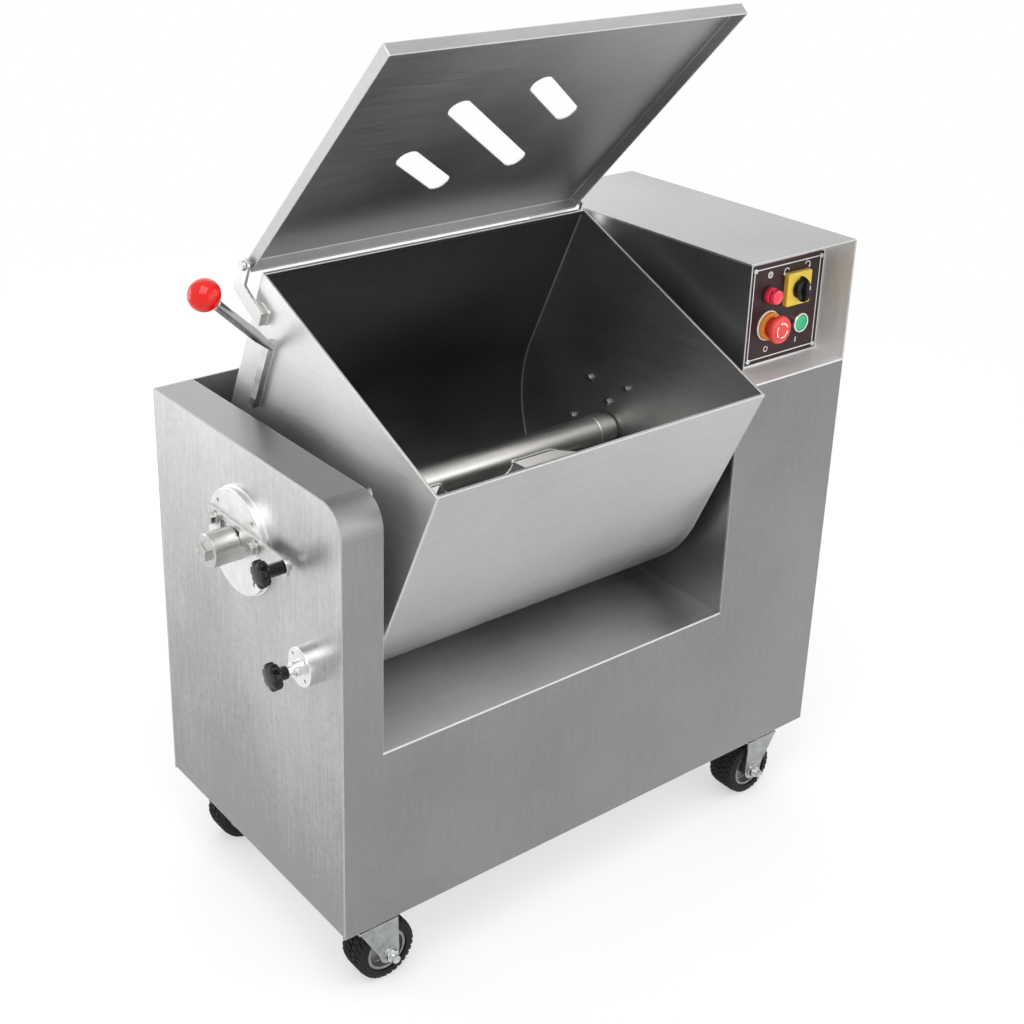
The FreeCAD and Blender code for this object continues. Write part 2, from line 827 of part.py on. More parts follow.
# Bearings on the left, in the pedestal
def build_left_bearing_housing():
    body = new_body("left_bearing_housing")
    lip_end = flange_back + hole_clearance
    turn(body, "housing_turned", [
        (flange_front, stub_boss_radius),
        (flange_front, housing_flange_radius - edge_break),
        (flange_front + edge_break, housing_flange_radius),
        (flange_back, housing_flange_radius),
        (flange_back, housing_radius),
        (recess_left + hole_clearance * 10, housing_radius),
        (recess_left + hole_clearance * 10, housing_bore),
        (lip_end, housing_bore),
        (lip_end, stub_boss_radius),
    ])
    hole = ("circle", flange_hole_circle * cosine(term(45)), flange_hole_circle * sine(term(45)), flange_hole_radius)
    cut = pocket(body, "screw_hole", "YZ", flange_front, flange_back, hole)
    polar_copies(body, "screw_holes", cut, "X_Axis", 4)
    back_hole = ("circle", keeper_bolt_back, keeper_rise, keeper_bolt_radius)
    front_hole = ("circle", -keeper_bolt_front, keeper_rise, keeper_bolt_radius)
    pocket(body, "keeper_bolt_holes", "YZ", flange_front, flange_back, back_hole, front_hole)
    finish(body, "left_bearing_housing", axle_frame)


def build_left_backing_ring():
    body = new_body("left_backing_ring")
    outer = housing_flange_radius + backing_ring_lip
    turn(body, "ring_turned", [
        (flange_back, housing_radius + running_clearance),
        (flange_back, outer - edge_break),
        (flange_back + edge_break, outer),
        (left_face, outer),
        (left_face, housing_radius + running_clearance),
    ])
    finish(body, "left_backing_ring", axle_frame)


def bush_outline(start):
    return [
        (start, bush_radius),
        (start, housing_bore),
        (start + bush_length, housing_bore),
        (start + bush_length, bush_radius),
    ]


def build_bearing_bushes():
    left = new_body("left_bush")
    turn(left, "left_bush_turned", bush_outline(recess_left - bush_length))
    right = new_body("right_bush")
    turn(right, "right_bush_turned", bush_outline(recess_right + sheet_wall + hole_clearance))
    finish(group_of("bush_pair", [left, right]), "bearing_bushes", axle_frame)


def build_right_bearing_housing():
    body = new_body("right_bearing_housing")
    start = recess_right + sheet_wall
    turn(body, "right_housing_turned", [
        (start, housing_bore),
        (start, housing_flange_radius),
        (start + housing_flange_wall, housing_flange_radius),
        (start + housing_flange_wall, housing_radius),
        (right_housing_end, housing_radius),
        (right_housing_end, housing_bore),
    ])
    finish(body, "right_bearing_housing", axle_frame)


def build_stub_shaft():
    body = new_body("stub_shaft")
    shoulder = flange_back - hole_clearance
    turn(body, "stub_turned", [
        (boss_end, 0),
        (boss_end, stub_boss_radius - 2 * edge_break),
        (boss_end + 2 * edge_break, stub_boss_radius),
        (shoulder, stub_boss_radius),
        (shoulder, stub_journal_radius),
        (stub_tip, stub_journal_radius),
        (stub_tip, 0),
    ])
    low = keeper_rise - keeper_half_height - seat_gap
    groove = rectangle(-stub_boss_radius * 2, stub_boss_radius * 2, low, stub_boss_radius * 2)
    pocket(body, "keeper_groove", "YZ", keeper_far - seat_gap, keeper_near + seat_gap, groove)
    finish(body, "stub_shaft", axle_frame)


def build_stub_bolt():
    body = new_body("stub_bolt")
    low = boss_end - stub_bolt_height
    pad(body, "bolt_head", "YZ", low, boss_end, hexagon(term(0), term(0), stub_bolt_radius))
    finish(body, "stub_bolt", axle_frame)


def build_keeper_bar():
    body = new_body("keeper_bar")
    low = keeper_rise - keeper_half_height
    high = keeper_rise + keeper_half_height
    half = keeper_half_height
    outline = [
        (keeper_back, low),
        (keeper_back, high),
        (-keeper_front, high),
        ("arc", half, 1),
        (-keeper_front - half, keeper_rise),
        ("arc", half, 1),
        (-keeper_front, low),
    ]
    stud_hole = ("circle", -keeper_front, keeper_rise, keeper_bolt_radius + hole_clearance)
    pad(body, "bar", "YZ", keeper_far, keeper_near, outline, stud_hole)
    slot_height = 2 * (keeper_bolt_radius + hole_clearance)
    slot_length = slot_height + keeper_travel + 2 * hole_clearance
    shift = keeper_travel / 2
    back_slot = rounded_slot(keeper_bolt_back + shift, keeper_rise, slot_length, slot_height, term(0))
    front_slot = rounded_slot(shift - keeper_bolt_front, keeper_rise, slot_length, slot_height, term(0))
    pocket(body, "bolt_slots", "YZ", keeper_far, keeper_near, back_slot, front_slot)
    clear = stub_boss_radius + 2 * hole_clearance
    notch_high = clear
    notch_low = low - half
    notch = rectangle(keeper_hold - clear, clear + keeper_travel, notch_low, notch_high)
    pocket(body, "release_notch", "YZ", keeper_far, keeper_near, notch)
    finish(body, "keeper_bar", axle_frame)


def add_keeper_bolt(body, name, depth):
    washer_far = keeper_far - seat_gap - keeper_washer_wall
    head_far = washer_far - keeper_bolt_head_height
    washer = ("circle", depth, keeper_rise, keeper_washer_radius)
    shank = ("circle", depth, keeper_rise, keeper_bolt_radius)
    pad(body, f"{name}_shank", "YZ", washer_far, flange_back, shank)
    pad(body, f"{name}_washer", "YZ", washer_far, washer_far + keeper_washer_wall, washer)
    pad(body, f"{name}_head", "YZ", head_far, washer_far, hexagon(depth, keeper_rise, keeper_bolt_head_radius))


def build_keeper_bolts():
    bolts = []
    for name, depth in (("back", keeper_bolt_back), ("front", -keeper_bolt_front)):
        body = new_body(f"keeper_bolt_{name}")
        add_keeper_bolt(body, name, depth)
        bolts.append(body)
    finish(group_of("keeper_bolt_pair", bolts), "keeper_bolts", axle_frame)


# Star knobs: seven lobes round a domed head, on a plain neck
def add_star_knob(body, name, neck_end, neck_length):
    neck_start = neck_end - neck_length
    head_start = neck_start - knob_thickness
    core = knob_radius - knob_lobe_radius
    turn(body, f"{name}_core", [
        (head_start - knob_dome, 0),
        (head_start, core * 0.8),
        (head_start + edge_break, core),
        (neck_start, core),
        (neck_start + 2 * edge_break, knob_neck_radius),
        (neck_end, knob_neck_radius - edge_break),
        (neck_end, 0),
    ])
    ring = knob_radius - knob_lobe_radius
    lobe = pad(body, f"{name}_lobe", "YZ", head_start, neck_start, ("circle", ring, 0, knob_lobe_radius))
    polar_copies(body, f"{name}_lobes", lobe, "X_Axis", knob_lobes)
    cutters.pop()


def build_keeper_knob():
    body = new_body("keeper_knob")
    add_star_knob(body, "keeper_knob", keeper_far, keeper_neck_length)
    frame = Frame(axle_frame.x, axle_frame.y - keeper_front, axle_frame.z + keeper_rise, None)
    finish(body, "keeper_knob", frame)


def build_keeper_nut():
    body = new_body("keeper_nut")
    stud = ("circle", 0, 0, keeper_bolt_radius)
    pad(body, "nut", "YZ", keeper_near, keeper_near + keeper_nut_height, hexagon(term(0), term(0), keeper_nut_radius))
    pad(body, "stud", "YZ", keeper_far, keeper_near + keeper_nut_height, stud)
    frame = Frame(axle_frame.x, axle_frame.y - keeper_front, axle_frame.z + keeper_rise, None)
    finish(body, "keeper_nut", frame)


plunger_frame = Frame(middle_x, middle_y + plunger_depth, caster_height + plunger_height, None)


def build_plunger_housing():
    body = new_body("plunger_housing")
    bore = plunger_pin_radius + running_clearance
    barrel_end = recess_left + hole_clearance * 10
    turn(body, "plunger_housing_turned", [
        (plunger_boss_end, bore),
        (plunger_boss_end, plunger_boss_radius - edge_break),
        (plunger_boss_end + edge_break, plunger_boss_radius),
        (plunger_face, plunger_boss_radius),
        (plunger_face, plunger_flange_radius - edge_break),
        (plunger_face + edge_break, plunger_flange_radius),
        (left_face, plunger_flange_radius),
        (left_face, plunger_barrel_radius),
        (barrel_end, plunger_barrel_radius),
        (barrel_end, bore),
    ])
    depth = plunger_boss_length / 3
    half = plunger_pin_radius / 2
    notch = rectangle(-plunger_boss_radius * 2, plunger_boss_radius * 2, -half, half)
    pocket(body, "rest_notch", "YZ", plunger_boss_end, plunger_boss_end + depth, notch)
    reach = plunger_hole_circle
    hole = ("circle", reach * cosine(term(45)), reach * sine(term(45)), flange_hole_radius * 0.8)
    cut = pocket(body, "plunger_screw_hole", "YZ", plunger_face, left_face, hole)
    polar_copies(body, "plunger_screw_holes", cut, "X_Axis", 4)
    finish(body, "plunger_housing", plunger_frame)


def build_plunger_pin():
    body = new_body("plunger_pin")
    start = plunger_start
    tip = plunger_tip
    turn(body, "plunger_pin_turned", [
        (start, 0),
        (start, plunger_pin_radius),
        (tip - 2, plunger_pin_radius),
        (tip, plunger_pin_radius - 2),
        (tip, 0),
    ])
    finish(body, "plunger_pin", plunger_frame)


def build_plunger_knob():
    body = new_body("plunger_knob")
    add_star_knob(body, "plunger_knob", plunger_start, plunger_neck_length)
    finish(body, "plunger_knob", plunger_frame)


# Bowl, in its own upright frame with the tilt axis as origin
def build_bowl_wrap():
    body = new_body("bowl_wrap")
    outer = bowl_radius
    inner = bowl_radius - bowl_wall
    hem = bowl_radius - hem_width
    hem_low = rim_height - hem_height
    outline = [
        (-outer, rim_height),
        (-outer, 0),
        ("arc", outer, 1),
        (0, -outer),
        ("arc", outer, 1),
        (outer, 0),
        (outer, rim_height),
        (hem, rim_height),
        (hem, hem_low),
        (inner, hem_low),
        (inner, 0),
        ("arc", inner, -1),
        (0, -inner),
        ("arc", inner, -1),
        (-inner, 0),
        (-inner, hem_low),
        (-hem, hem_low),
        (-hem, rim_height),
    ]
    pad(body, "bowl_sheet", "YZ", inside_left, inside_right, outline)
    finish(body, "bowl_wrap", bowl_frame)


def end_plate_outline():
    edge = bowl_radius
    return [
        (-edge, rim_height),
        (-edge, 0),
        ("arc", edge, 1),
        (0, -edge),
        ("arc", edge, 1),
        (edge, 0),
        (edge, rim_height),
    ]


def index_holes():
    holes = []
    for swing in (-bowl_swing_back, term(0), bowl_swing_forward):
        angle = plunger_angle - bowl_tilt - swing
        u = plunger_radius * cosine(angle)
        v = plunger_radius * sine(angle)
        holes.append(("circle", u, v, plunger_pin_radius + hole_clearance))
    return holes


def build_bowl_ends():
    bore = ("circle", 0, 0, trunnion_bore)
    body = new_body("bowl_left_end")
    pad(body, "left_plate", "YZ", bowl_left, inside_left, end_plate_outline(), bore, *index_holes())
    finish(body, "bowl_left_end", bowl_frame)
    body = new_body("bowl_right_end")
    pad(body, "right_plate", "YZ", inside_right, bowl_right, end_plate_outline(), bore)
    finish(body, "bowl_right_end", bowl_frame)


def trunnion_outline(plate, side):
    flange = plate + side * trunnion_flange_wall
    end = plate + side * trunnion_length
    return [
        (plate, trunnion_bore),
        (plate, trunnion_flange_radius),
        (flange, trunnion_flange_radius),
        (flange, trunnion_radius),
        (end, trunnion_radius),
        (end, trunnion_bore),
    ]


def build_trunnions():
    left = new_body("left_trunnion")
    turn(left, "left_trunnion_turned", trunnion_outline(bowl_left, -1))
    right = new_body("right_trunnion")
    turn(right, "right_trunnion_turned", trunnion_outline(bowl_right, 1))
    finish(group_of("trunnion_pair", [left, right]), "trunnions", bowl_frame)


def bolt_places():
    places = []
    for step in range(6):
        places.append((trunnion_bolt_circle, 60 * step - 5.5))
    for step in range(3):
        places.append((seal_bolt_circle, 120 * step + 84))
    return places


def build_trunnion_bolts():
    heads = []
    sides = (("right", inside_right - bolt_head_height, inside_right), ("left", inside_left, inside_left + bolt_head_height))
    for side, low, high in sides:
        for number, (circle, degrees) in enumerate(bolt_places()):
            angle = term(degrees) - bowl_tilt
            body = new_body(f"bolt_{side}_{number}")
            u = circle * cosine(angle)
            v = circle * sine(angle)
            pad(body, f"head_{side}_{number}", "YZ", low, high, hexagon(u, v, bolt_head_radius))
            heads.append(body)
    finish(group_of("trunnion_bolt_heads", heads), "trunnion_bolts", bowl_frame)


# Hinge straps: a bent flat bar on a square foot at each end of the bowl
def add_strap(name, plate, side):
    body = new_body(name)
    near = plate + side * strap_stand_off
    far = near + side * strap_wall
    low_x, high_x = (far, near) if side < 0 else (near, far)
    half = strap_width / 2
    foot_y = hinge_back - strap_foot_forward
    foot_z = hinge_up - strap_foot_drop
    elbow_z = hinge_up - strap_elbow_drop + half
    strap = [
        (hinge_back - half, hinge_up),
        (hinge_back - half, elbow_z + half),
        (foot_y - half, foot_z + half),
        (foot_y - half, foot_z - half),
        (foot_y + half, foot_z - half),
        (hinge_back + half, elbow_z - half),
        (hinge_back + half, hinge_up),
        ("arc", half, 1),
        (hinge_back, hinge_up + half),
        ("arc", half, 1),
    ]
    pin_hole = ("circle", hinge_back, hinge_up, hinge_pin_radius + running_clearance)
    pad(body, f"{name}_bar", "YZ", low_x, high_x, strap, pin_hole)
    foot = rectangle(foot_y - half, foot_y + half, foot_z - half, foot_z + half)
    foot_low, foot_high = (near, plate) if side < 0 else (plate, near)
    pad(body, f"{name}_foot", "YZ", foot_low, foot_high, foot)
    return body


def build_hinge_straps():
    left = add_strap("left_strap", bowl_left, -1)
    right = add_strap("right_strap", bowl_right, 1)
    finish(group_of("strap_pair", [left, right]), "hinge_straps", bowl_frame)


# Tilt lever: a bar welded up the left end plate, with a rod that leans out to the ball
lever_start = Frame(bowl_left - lever_bar_wall / 2, lever_back, lever_up - lever_seat, None)


def lean_out(item, name):
    place(item, lever_start, (0, 1, 0), lever_lean_angle + 180)
    return group_of(name, [item])


def build_tilt_lever():
    bar = new_body("lever_bar")
    half = lever_bar_width / 2
    outline = rectangle(lever_bar_back - half, lever_bar_back + half, lever_up - lever_bar_length, lever_up)
    pad(bar, "bar_plate", "YZ", bowl_left - lever_bar_wall, bowl_left, outline)
    rod = new_body("lever_rod")
    radius = lever_rod_radius
    spigot = lever_rod_length + lever_ball_radius * 0.4
    turn(rod, "rod_turned", [
        (0, 0),
        (0, radius * 0.6),
        (radius, radius * 0.7),
        (5 * radius, radius),
        (lever_rod_length - radius, radius),
        (lever_rod_length, radius * 0.8),
        (lever_rod_length, radius * 0.6),
        (spigot, radius * 0.6),
        (spigot, 0),
    ])
    lever = doc.addObject("Part::MultiFuse", "lever_weldment")
    lever.Shapes = [bar, lean_out(rod, "rod_leaning")]
    finish(lever, "tilt_lever", bowl_frame)


def build_lever_ball():
    body = new_body("ball")
    ball = lever_ball_radius
    flat = lever_rod_radius * 0.8
    start = lever_rod_length
    centre = start + root(ball * ball - flat * flat)
    seat = start + ball * 0.4
    turn(body, "ball_turned", [
        (start, lever_rod_radius * 0.6),
        (start, flat),
        ("arc", ball, -1),
        (centre, ball),
        ("arc", ball, -1),
        (centre + ball, 0),
        (seat, 0),
        (seat, lever_rod_radius * 0.6),
    ])
    finish(lean_out(body, "ball_leaning"), "lever_ball", bowl_frame)


# Lid, closed in its own frame with the hinge line as origin and the front towards -Y
lid_under = hinge_drop + lid_rim_gap
lid_top = lid_under + lid_wall
lid_left = bowl_left - lid_side_gap - lid_wall
lid_right = bowl_right + lid_side_gap + lid_wall
lid_front = -(hinge_back + bowl_radius + lid_side_gap + lid_wall)
lid_back = hinge_pin_radius + lid_side_gap


def build_lid_panel():
    body = new_body("lid_panel")
    outline = rectangle(lid_left, lid_right, lid_front, lid_back)
    pad(body, "lid_sheet", "XY", lid_under, lid_top, outline)
    low = lid_under - lid_edge
    for name, left, right, front, back in (
        ("left_edge", lid_left, lid_left + lid_wall, lid_front, lid_back),
        ("right_edge", lid_right - lid_wall, lid_right, lid_front, lid_back),
        ("front_edge", lid_left, lid_right, lid_front, lid_front + lid_wall),
        ("back_edge", lid_left, lid_right, lid_back - lid_wall, lid_back),
    ):
        pad(body, name, "XY", low, lid_under, rectangle(left, right, front, back))
    pin = ("circle", 0, 0, hinge_pin_radius)
    ear_half = hinge_pin_head
    ear = rectangle(-ear_half, lid_back, -ear_half - edge_break, low)
    for name, left in (("left_ear", lid_left), ("right_ear", lid_right - lid_wall)):
        pad(body, name, "YZ", left, left + lid_wall, ear)
        pocket(body, f"{name}_hole", "YZ", left, left + lid_wall, pin)
    middle = (bowl_left + bowl_right) / 2 - slot_shift
    centre = (lid_front + lid_back) / 2
    step_x = slot_spacing * sine(slot_angle) + slot_stagger * cosine(slot_angle)
    step_y = slot_spacing * cosine(slot_angle) - slot_stagger * sine(slot_angle)
    slots = [
        rounded_slot(middle - step_x, centre + step_y, slot_short, slot_width, slot_angle),
        rounded_slot(middle, centre, slot_long, slot_width, slot_angle),
        rounded_slot(middle + step_x, centre - step_y, slot_short, slot_width, slot_angle),
    ]
    pocket(body, "lid_slots", "XY", lid_under, lid_top, *slots)
    finish(body, "lid_panel", lid_frame)


def build_hinge_pins():
    pins = []
    for name, plate, side in (("left", bowl_left, -1), ("right", bowl_right, 1)):
        body = new_body(f"{name}_pin")
        inner = plate + side * (lid_side_gap / 2)
        outer = plate + side * (strap_stand_off + strap_wall + seat_gap)
        head = outer + side * 4
        turn(body, f"{name}_pin_turned", [
            (inner, 0),
            (inner, hinge_pin_radius),
            (outer, hinge_pin_radius),
            (outer, hinge_pin_head),
            (head, hinge_pin_head - 2 * edge_break),
            (head, 0),
        ])
        pins.append(body)
    finish(group_of("hinge_pin_pair", pins), "hinge_pins", lid_frame)


# Mixing shaft
def build_mixer_shaft():
    body = new_body("mixer_shaft")
    bore = stub_journal_radius + running_clearance
    hub_end = shaft_left + shaft_hub_length
    core_start = shaft_right - drive_engagement
    hollow = shaft_radius - shaft_wall
    collar = shaft_radius + shaft_collar_lip
    turn(body, "shaft_turned", [
        (shaft_left, bore),
        (shaft_left, shaft_radius),
        (shaft_right - shaft_collar_length, shaft_radius),
        (shaft_right - shaft_collar_length, collar),
        (shaft_right - edge_break, collar),
        (shaft_right, shaft_radius),
        (shaft_right, drive_radius),
        (core_start, drive_radius),
        (core_start, hollow),
        (hub_end, hollow),
        (hub_end, bore),
    ])
    finish(body, "mixer_shaft", axle_frame)


def build_drive_shaft():
    body = new_body("drive_shaft")
    start = shaft_right - drive_engagement + 1
    collar_start = shaft_right
    turn(body, "drive_turned", [
        (start, 0),
        (start, drive_radius),
        (collar_start, drive_radius),
        (collar_start, drive_collar_radius),
        (inside_right - shaft_end_gap, drive_collar_radius),
        (inside_right - shaft_end_gap, drive_radius),
        (gearbox_end - edge_break, drive_radius),
        (gearbox_end, drive_radius - edge_break),
        (gearbox_end, 0),
    ])
    finish(body, "drive_shaft", axle_frame)


# Paddles: two mirrored ploughs on the shaft, each with two wings that meet along a slanting spine.
# A wing is drawn flat, X along the shaft from the middle of the bowl and Z away from the shaft.
def shaft_cylinder(name, radius, half_length):
    cylinder = doc.addObject("Part::Cylinder", name)
    bind(cylinder, "Radius", radius)
    bind(cylinder, "Height", half_length * 2)
    place(cylinder, Frame(-half_length, term(0), term(0), None), (0, 1, 0), term(90))
    return cylinder


def build_paddles():
    reach = bowl_radius - bowl_wall - paddle_tip_gap
    length = (inside_right - inside_left) / 2 - paddle_end_gap
    start = paddle_root
    rise = tangent(paddle_rise_angle) * (length - start - paddle_step)
    slope = tangent(paddle_spine_angle) * (length - start)
    level = paddle_offset
    front = new_body("front_wing")
    pad(front, "front_wing_plate", "XY", level - paddle_wall, level, [
        (start + paddle_step, paddle_lap),
        (length, paddle_lap - rise),
        (length, -paddle_lap - slope),
        (start, -paddle_lap),
    ])
    back = new_body("back_wing")
    spine_length = (length - start) / cosine(paddle_spine_angle)
    outline = rectangle(term(0), spine_length, -paddle_back_width, term(0))
    pad(back, "back_wing_plate", "XY", -paddle_wall, 0, outline)
    place(back, Frame(term(0), term(0), term(0), paddle_fold_angle))
    slanted = group_of("back_wing_slanted", [back])
    place(slanted, Frame(start, -paddle_lap, level, None), (0, 0, 1), -paddle_spine_angle)
    wings = doc.addObject("Part::MultiFuse", "wings")
    wings.Shapes = [front, slanted]
    trimmed = doc.addObject("Part::MultiCommon", "wings_trimmed")
    trimmed.Shapes = [wings, shaft_cylinder("paddle_sweep", reach, length)]
    seated = doc.addObject("Part::Cut", "wings_seated")
    seated.Base = trimmed
    seated.Tool = shaft_cylinder("paddle_seat", shaft_radius, length)
    mirrored = doc.addObject("Part::Mirroring", "wings_mirrored")
    mirrored.Source = seated
    mirrored.Normal = Vector(1, 0, 0)
    frame = Frame(middle_x + recess_middle, axle_frame.y, axle_frame.z, paddle_angle - 90)
    finish(group_of("paddle_pair", [seated, mirrored]), "paddles", frame)


# Gearbox and motor inside the tower
def build_gearbox():
    body = new_body("gearbox")
    start = right_housing_end
    end = gearbox_end
    depth = gearbox_half_depth
    height = gearbox_half_height
    case = rectangle(-depth, depth, -height, height)
    pad(body, "case", "YZ", start, end - gearbox_cover_wall, case)
    soften(body, "case_round", "Fillet", gearbox_round, lambda edge: has_axis(edge, (1, 0, 0)))
    pad(body, "end_cover", "YZ", end - gearbox_cover_wall, end, ("circle", 0, 0, gearbox_cover_radius))
    bore = ("circle", 0, 0, drive_radius + running_clearance)
    pocket(body, "output_bore", "YZ", start, end, bore)
    finish(body, "gearbox", axle_frame)


def build_motor():
    body = new_body("motor")
    flange = motor_flange_wall
    ribs_end = motor_length - motor_cowl_length
    core = motor_radius - motor_rib_depth
    turn(body, "motor_turned", [
        (0, 0),
        (0, motor_flange_radius),
        (flange, motor_flange_radius),
        (flange, core),
        (ribs_end, core),
        (ribs_end, motor_radius),
        (motor_length - 2 * flange, motor_radius),
        (motor_length, motor_radius - flange),
        (motor_length, 0),
    ])
    half = motor_rib_wall / 2
    rib_outline = rectangle(core - 1, motor_radius, -half, half)
    rib = pad(body, "rib", "YZ", flange, ribs_end, rib_outline)
    polar_copies(body, "ribs", rib, "X_Axis", motor_ribs)
    cutters.pop()
    box = rectangle(
        motor_radius - motor_box_sink, motor_radius + motor_box_reach, -motor_radius * 0.55, motor_radius * 0.55
    )
    pad(body, "terminal_box", "YZ", 3 * flange, 9 * flange, box)
    frame = Frame(middle_x + gearbox_middle, axle_frame.y, axle_frame.z - gearbox_half_height, None)
    finish(body, "motor", frame, (0, 1, 0), term(90))


# Control panel in the niche
def panel_frame(right, up):
    x = middle_x + control_middle + right
    z = caster_height + control_centre + up
    return Frame(x, middle_y + control_face, z, None)


def build_control_plate():
    body = new_body("control_plate")
    half_width = control_width / 2
    half_height = control_height / 2
    outline = rectangle(-half_width, half_width, -half_height, half_height)
    pad(body, "plate", "XZ", 0, control_wall, outline)
    soften(body, "plate_corners", "Fillet", term(3), lambda edge: has_axis(edge, (0, 1, 0)))
    finish(body, "control_plate", panel_frame(term(0), term(0)))


def build_pilot_lamp():
    body = new_body("pilot_lamp")
    reach = lamp_reach
    radius = lamp_radius
    turn(body, "lamp_turned", [
        (0, 0),
        (0, radius + 2),
        (3, radius + 2),
        (3, radius),
        (reach - 3, radius),
        (reach, radius - 3),
        (reach, 0),
    ])
    finish(body, "pilot_lamp", panel_frame(-lamp_left, lamp_up), (0, 0, 1), term(-90))


def build_selector_plate():
    body = new_body("selector_plate")
    half = selector_plate_side / 2
    outline = rectangle(-half, half, -half, half)
    pad(body, "yellow_plate", "XZ", -selector_plate_wall, 0, outline)
    soften(body, "plate_corners_round", "Fillet", term(2), lambda edge: has_axis(edge, (0, 1, 0)))
    finish(body, "selector_plate", panel_frame(selector_right, selector_up))


def build_selector_knob():
    body = new_body("selector_knob")
    back = -selector_plate_wall - seat_gap
    front = back - selector_reach
    pad(body, "dial", "XZ", front, back, ("circle", 0, 0, selector_radius))
    half_length = selector_grip_length / 2
    half_width = selector_grip_width / 2
    waist = half_length * 0.7
    grip = [
        (0, -half_length),
        (half_width, -waist),
        (half_width, waist),
        (0, half_length),
        (-half_width, waist),
        (-half_width, -waist),
    ]
    pad(body, "grip", "XZ", front - selector_grip_height, front + 2, grip)
    finish(body, "selector_knob", panel_frame(selector_right, selector_up))


def build_stop_button():
    collar = new_body("stop_collar")
    bore = stop_stem_radius + button_clearance
    turn(collar, "collar_turned", [
        (0, bore),
        (0, stop_collar_radius),
        (stop_collar_wall - 2, stop_collar_radius),
        (stop_collar_wall, stop_collar_radius - 2),
        (stop_collar_wall, bore),
    ])
    place_at = panel_frame(-stop_left, -stop_down)
    finish(collar, "stop_collar", place_at, (0, 0, 1), term(-90))
    head = new_body("stop_head")
    under = stop_collar_wall + stop_travel + 2
    top = under + stop_head_wall
    radius = stop_head_radius
    turn(head, "head_turned", [
        (stop_travel + seat_gap, 0),
        (stop_travel + seat_gap, stop_stem_radius),
        (under, stop_stem_radius),
        (under, radius - 2),
        (under + 3, radius),
        (top - 4, radius),
        (top - 1, radius - 3),
        (top, radius * 0.5),
        (top, 0),
    ])
    finish(head, "stop_head", place_at, (0, 0, 1), term(-90))


def build_start_button():
    bezel = new_body("start_bezel")
    bore = start_cap_radius + button_clearance
    turn(bezel, "bezel_turned", [
        (0, bore),
        (0, start_bezel_radius),
        (start_reach - 2, start_bezel_radius),
        (start_reach, start_bezel_radius - 2),
        (start_reach, bore),
    ])
    place_at = panel_frame(start_right, -start_down)
    finish(bezel, "start_bezel", place_at, (0, 0, 1), term(-90))
    cap = new_body("start_cap")
    turn(cap, "cap_turned", [
        (start_travel + seat_gap, 0),
        (start_travel + seat_gap, start_cap_radius),
        (start_reach - 1, start_cap_radius),
        (start_reach, start_cap_radius - 1),
        (start_reach, 0),
    ])
    finish(cap, "start_cap", place_at, (0, 0, 1), term(-90))


# Casters: the front left one trails towards the tower, the others away from it
caster_places = []
for row, depth in (("front", front_face + caster_inset_y), ("rear", back_face - caster_inset_y)):
    caster_places.append((f"{row}_left", left_face + caster_inset_x, depth, 1))
    caster_places.append((f"{row}_right", right_face - caster_inset_x, depth, -1))
fork_inner = tyre_width / 2 + fork_gap
fork_outer = fork_inner + fork_wall
wheel_height = wheel_radius
crown_low = caster_height - caster_plate_wall - fork_crown


def build_caster_plates():
    plates = []
    for name, x, y, side in caster_places:
        body = new_body(f"plate_{name}")
        half_length = caster_plate_length / 2
        half_width = caster_plate_width / 2
        outline = rectangle(x - half_length, x + half_length, y - half_width, y + half_width)
        pad(body, f"plate_{name}_sheet", "XY", -caster_plate_wall, 0, outline)
        pin_low = crown_low - seat_gap - fork_wall - caster_height
        pad(body, f"kingpin_{name}", "XY", pin_low, -caster_plate_wall, ("circle", x, y, kingpin_radius))
        head_low = pin_low - fork_wall
        pad(body, f"kingpin_head_{name}", "XY", head_low, pin_low, ("circle", x, y, kingpin_head))
        plates.append(body)
    finish(group_of("caster_plate_set", plates), "caster_plates", cabinet_frame)


